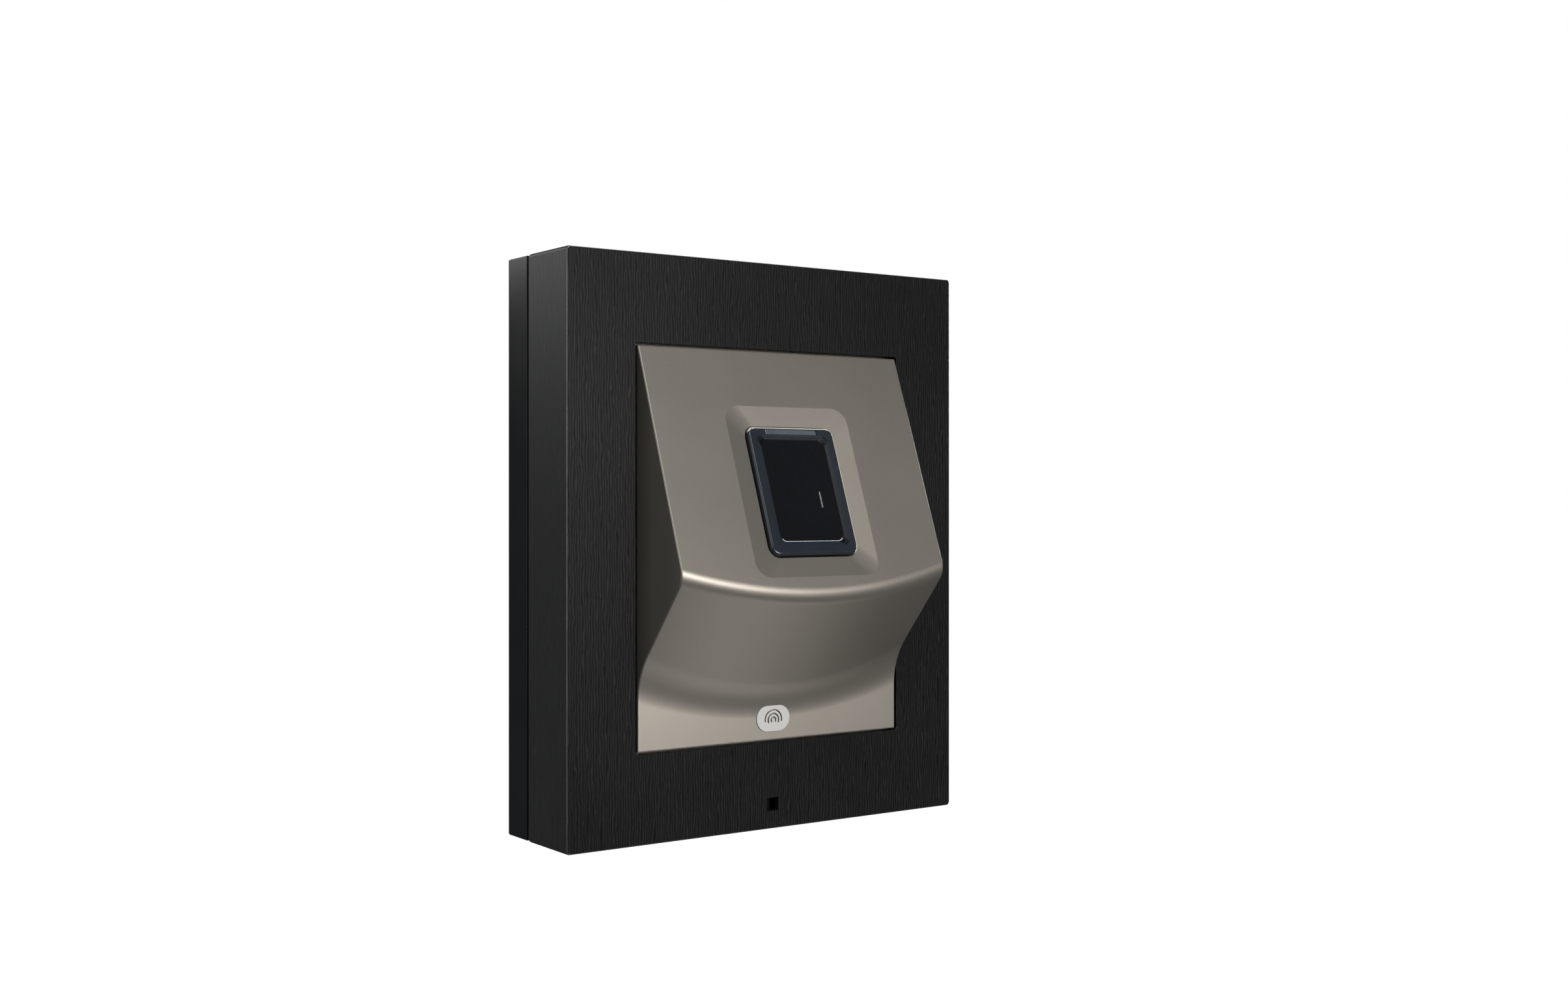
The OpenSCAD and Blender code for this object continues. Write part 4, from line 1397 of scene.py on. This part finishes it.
@dataclass
class Module:
    """Rear tray of the reader, its sockets, tamper switch, screws and the bars that hold it."""

    wall: float = 1.5
    corner: float = 2.0
    screw: Spot = (31.4, 40.0)
    boss_r: float = 3.0
    screw_hole_r: float = 1.4
    panel: Spot = (40.0, 17.0)
    vent: Spot = (-21.0, -25.0)
    vent_pitch: float = 3.2
    socket: Spot = (12.0, 20.0)
    socket_size: Spot = (9.0, 7.0)
    socket_gap: float = 0.3
    pin_step: float = 1.4
    switch: Spot = (22.0, -24.0)
    switch_half: float = 3.2
    bar_spot: Spot = (45.4, 22.0)
    bar_x: float = 42.25
    bar_hole_r: float = 1.5
    slots: int = 7
    button_r: float = 1.2

    def build(self) -> None:
        """Builds and delivers the module's pieces."""
        self.tray()
        self.sockets()
        self.tamper()
        self.bars()
        PanScrew(2.6, 1.5, 1.2, 12.4).fit("module_screws", Extent.of("module_tray").z0, corners(*self.screw))
        PanScrew(2.7, 1.8, 1.2, 5.4).fit("clamp_screws", Extent.of("clamp_bars").z0, corners(*self.bar_spot))

    def tray(self) -> None:
        """Moulded tray with vents, a plain panel, bosses and screw holes, and openings for the sockets and
        the switch.
        """
        box = Extent.of("module_tray")
        back, front = box.z0, box.z1
        floor = back + self.wall
        tray = slab("module_tray", box.width, box.height, self.corner,
                    [*rounded_start(back, 0.8, 4), (front, 0)])
        inner_w, inner_h = box.width - 2 * self.wall, box.height - 2 * self.wall
        cut(tray, slab("hollow", inner_w, inner_h, 1.0, [(floor, 0.3), (floor + 0.3, 0), (front + 1, 0)]))
        through = (back - 1, front + 1)
        weld(tray, *[drill(self.boss_r, (floor - 0.5, front), x, y, 28) for x, y in corners(*self.screw)])
        cut(tray, *[drill(self.screw_hole_r, through, x, y, 24) for x, y in corners(*self.screw)])
        cut(tray, slab("panel", *self.panel, 1.5, [(back - 1, 0), (back + 0.35, 0), (back + 0.4, 0.1)], 0, 2))
        x, y = self.vent
        cut(tray, *[slab("vent", 1.3, 11, 0.6, [(back - 1, 0), (floor + 1, 0)], x + k * self.vent_pitch, y, 4)
                    for k in range(self.slots)])
        gap, opening = self.socket_gap, (back - 1, floor + 1)
        half_w, half_h = (side / 2 + gap for side in self.socket_size)
        for sign in (-1, 1):
            cut(tray, post(sign * self.socket[0], self.socket[1], (half_w, half_h), opening))
        half = self.switch_half + gap
        cut(tray, post(*self.switch, (half, half), opening))
        deliver(tray, Body.FRONT, Slot.TRAY, ["module_tray"])

    def sockets(self) -> None:
        """Two wiring sockets, each a shell with a keyed mouth, and its eight pins."""
        box = Extent.of("bus_sockets")
        z0, z1 = box.z0, box.z1
        shell = slab("socket_pattern", *self.socket_size, 0.3, [(z0, 0.3), (z0 + 0.3, 0), (z1, 0)], steps=3)
        mouth = [(z0 - 1, -0.25), (z0, -0.25), (z0 + 0.4, 0), (z0 + 5, 0)]
        cut(shell, slab("mouth", 6.4, 3.4, 0.3, mouth, steps=3))
        cut(shell, block("key", (-1.2, 1.2), (1.0, 2.5), (z0 - 1, z0 + 2.2)))
        pin = slab("pin_pattern", 0.5, 0.5, 0.08, [(z0 + 0.9, 0.15), (z0 + 1.2, 0), (z0 + 6, 0)], steps=2)
        for k, sign in enumerate((-1, 1), 1):
            x, y = sign * self.socket[0], self.socket[1]
            deliver(duplicate(shell, f"bus_socket_{k}", x, y), Body.FRONT, Slot.CREAM, ["bus_sockets"])
            step = self.pin_step
            pins = [duplicate(pin, f"bus_pin_{k}_{i}", x + (i % 4 - 1.5) * step, y + (i // 4 - 0.5) * step)
                    for i in range(8)]
            deliver(joined(pins), Body.FRONT, Slot.STEEL, (), finish=GOLD)
        bpy.data.objects.remove(shell)
        bpy.data.objects.remove(pin)

    def tamper(self) -> None:
        """Switch body and its spring button."""
        box = Extent.of("tamper_switch")
        x, y, z0 = box.x, box.y, box.z0
        case = slab("tamper_switch", box.width, box.height, 0.5,
                    [(z0, 0.4), (z0 + 0.4, 0), (box.z1, 0)], x, y, 4)
        bore = self.button_r + 0.05
        cut(case, turned("bore", [(z0 - 1, bore + 0.4), (z0, bore + 0.4), (z0 + 0.4, bore), (z0 + 6.0, bore),
                                  (z0 + 6.0, 2.2), (z0 + 8.0, 2.2)], x, y, 32))
        deliver(case, Body.FRONT, Slot.SWITCH, ["tamper_switch"])
        tip = Extent.of("tamper_button")
        r = self.button_r
        rings = [(tip.z0, 0.35), (tip.z0 + 0.1, 0.75), (tip.z0 + 0.35, 1.08), (tip.z0 + 0.7, r)]
        rings += [(tip.z1 - 1.0, r), (tip.z1 - 1.0, 2.0), (tip.z1 - 0.1, 2.0), (tip.z1, 1.9)]
        deliver(turned("tamper_button", rings, x, y, 32), Body.BUTTON, Slot.CREAM, ["tamper_button"])

    def bars(self) -> None:
        """Two pressed steel bars that hold the module in the frame."""
        box = Extent.of("clamp_bars")
        z0, z1 = box.z0, box.z1
        width = box.x1 - self.bar_x
        bar = slab("bar_pattern", 2 * width, box.height, 2.0,
                   [(z0, 0.3), (z0 + 0.3, 0), (z1 - 0.15, 0), (z1, 0.15)])
        cut(bar, slab("dimple", 3.4, 34, 1.6, [(z0 - 1, -0.2), (z0, -0.2), (z0 + 0.5, 0)], steps=6))
        x = self.bar_spot[0] - self.bar_x
        for sign, name in ((-1, "clamp_bar_left"), (1, "clamp_bar_right")):
            copy = duplicate(bar, name)
            cut(copy, *[drill(self.bar_hole_r, (z0 - 1, z1 + 1), sign * x, y, 24)
                        for y in (-self.bar_spot[1], self.bar_spot[1])])
            turn_to(copy, Matrix.Translation((sign * self.bar_x, 0, 0)))
            deliver(copy, Body.FRONT, Slot.ZINC, ["clamp_bars"])
        bpy.data.objects.remove(bar)


# ---------------------------------------------------------------- carried-over nodes


@dataclass
class Carried:
    """CAD nodes whose own shape stays, with the slot each is dressed from."""

    slots: dict[str, Slot]

    def dress(self) -> None:
        """Gives every carried-over node its finish."""
        for node, slot in self.slots.items():
            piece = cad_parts[node]
            material = SHELF.take(FINISHES[slot])
            for holder in piece.material_slots:
                holder.material = material
            LOG.info("%s: kept, dressed in %s", node, slot.value)


# ---------------------------------------------------------------- camera, light and floor


@dataclass
class Studio:
    """Camera, lights, pale floor and white backdrop."""

    cover: Object
    eye_mm: Triple = (-233.9, -362.1, 12.1)
    yaw: float = 35.36
    lens: float = 40.67
    floor_drop: float = 0.42
    floor_half: float = 14.0

    def build(self) -> None:
        """Sets the whole studio up."""
        self.camera()
        self.world()
        self.floor()
        key = self.light("key", (0.27, -1.15, 0.11), (0.5, 0.28), 12.3, (1.0, 0.985, 0.965))
        self.pass_by(key)
        self.light("back_left", (-0.66, 1.01, 0.47), (0.9, 0.5), 3.5, (1.0, 1.0, 1.0))
        self.light("left", (-1.25, 0.1, 0.15), (0.6, 0.6), 3.2, (1.0, 1.0, 1.0))
        self.light("left_edge", (-0.95, -0.5, 0.43), (0.25, 0.25), 1.9, (1.0, 0.99, 0.97))
        self.light("back_right", (0.65, 0.65, 0.76), (0.5, 0.5), 3.0, (1.0, 1.0, 1.0))
        self.light("right_back", (1.1, 0.24, 0.25), (0.2, 0.3), 3.0, (1.0, 1.0, 1.0))
        self.light("above", (-0.05, -1.0, 1.0), (0.6, 0.4), 8.0, (1.0, 0.99, 0.98))
        self.light("low_card", (0.17, -0.17, -0.45), (0.3, 0.3), 0.35, (1.0, 0.98, 0.95))
        bpy.context.scene.view_settings.view_transform = "Standard"
        bpy.context.scene.view_settings.look = "None"

    def camera(self) -> None:
        """Level camera in front and to the left."""
        eye = bpy.data.cameras.new("camera")
        eye.lens = self.lens
        eye.sensor_width = 36.0
        eye.clip_start = 0.01
        eye.clip_end = 60.0
        holder = bpy.data.objects.new("camera", eye)
        holder.location = [v * MM for v in self.eye_mm]
        holder.rotation_euler = (math.radians(90), 0, math.radians(-self.yaw))
        bpy.context.scene.collection.objects.link(holder)
        bpy.context.scene.camera = holder

    def light(self, name: str, place: Triple, size: Spot, watts: float, colour: Colour) -> Object:
        """Soft rectangular lamp that faces the terminal.

        Args:
            name: the lamp's name.
            place: where it stands, in metres.
            size: its width and height.
            watts: its power.
            colour: its colour.

        Returns:
            The lamp.
        """
        lamp = bpy.data.lights.new(name, "AREA")
        lamp.shape = "RECTANGLE"
        lamp.size, lamp.size_y = size
        lamp.energy = watts
        lamp.color = colour
        holder = bpy.data.objects.new(name, lamp)
        holder.location = place
        holder.rotation_mode = "QUATERNION"
        holder.rotation_quaternion = (-Vector(place)).to_track_quat("-Z", "Y")
        holder.visible_camera = False
        bpy.context.scene.collection.objects.link(holder)
        return holder

    def pass_by(self, lamp: Object) -> None:
        """Stops the cover from throwing a shadow in a lamp's light."""
        group = bpy.data.collections.new(lamp.name + "_passes")
        group.objects.link(self.cover)
        lamp.light_linking.blocker_collection = group
        group.collection_objects[0].light_linking.link_state = "EXCLUDE"

    def world(self) -> None:
        """White behind the terminal, and a dim even light on it."""
        world = bpy.data.worlds.new("studio")
        bpy.context.scene.world = world
        world.use_nodes = True
        tree = world.node_tree
        base = tree.nodes["Background"]
        base.inputs["Color"].default_value = (0.9, 0.95, 1.0, 1.0)
        base.inputs["Strength"].default_value = 0.08
        seen = tree.nodes.new("ShaderNodeBackground")
        seen.inputs["Color"].default_value = (1.0, 1.0, 1.0, 1.0)
        path = tree.nodes.new("ShaderNodeLightPath")
        mix = tree.nodes.new("ShaderNodeMixShader")
        tree.links.new(path.outputs["Is Camera Ray"], mix.inputs[0])
        tree.links.new(base.outputs[0], mix.inputs[1])
        tree.links.new(seen.outputs[0], mix.inputs[2])
        tree.links.new(mix.outputs[0], tree.nodes["World Output"].inputs[0])

    def floor(self) -> None:
        """Wide pale floor below the terminal, lit until it meets the backdrop."""
        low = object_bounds()[0].z
        bpy.ops.object.select_all(action="DESELECT")
        bpy.ops.mesh.primitive_plane_add(size=2 * self.floor_half, location=(0, 0, low - self.floor_drop))
        floor = named("floor")
        desk = NodeDesk("pale_floor")
        pale = [(0.3, (0.86, 0.86, 0.86)), (0.7, (0.9, 0.9, 0.9))]
        desk.wire(Base_Color=desk.shades(desk.noise(3.0), pale))
        desk.fix({"Roughness": 0.9, "Emission Color": (1.0, 1.0, 1.0, 1.0), "Emission Strength": 1.0})
        floor.data.materials.append(desk.material)
        floor.visible_diffuse = False
        floor.visible_glossy = False
        floor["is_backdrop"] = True


def main() -> None:
    """Builds every sub-assembly in order."""
    logging.basicConfig(level=logging.INFO, format="%(message)s")
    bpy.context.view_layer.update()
    slope = Slope()
    BackBox().build()
    FrontFrame().build()
    cover = Fascia(slope).build()
    Sensor(slope).build()
    Module().build()
    Carried({
        "box_seal": Slot.RUBBER, "fascia_seal": Slot.RUBBER, "sensor_seal": Slot.RUBBER,
        "sensor_body": Slot.TRAY, "sensor_board": Slot.BOARD, "status_leds": Slot.LED,
        "sensor_clamp": Slot.ZINC, "sensor_screws": Slot.STEEL, "ribbon_sockets": Slot.CREAM,
        "ribbon_cable": Slot.RIBBON, "main_board": Slot.BOARD, "board_chips": Slot.CHIP,
        "board_screws": Slot.STEEL,
    }).dress()
    Studio(cover).build()


if __name__ == "__main__":
    main()
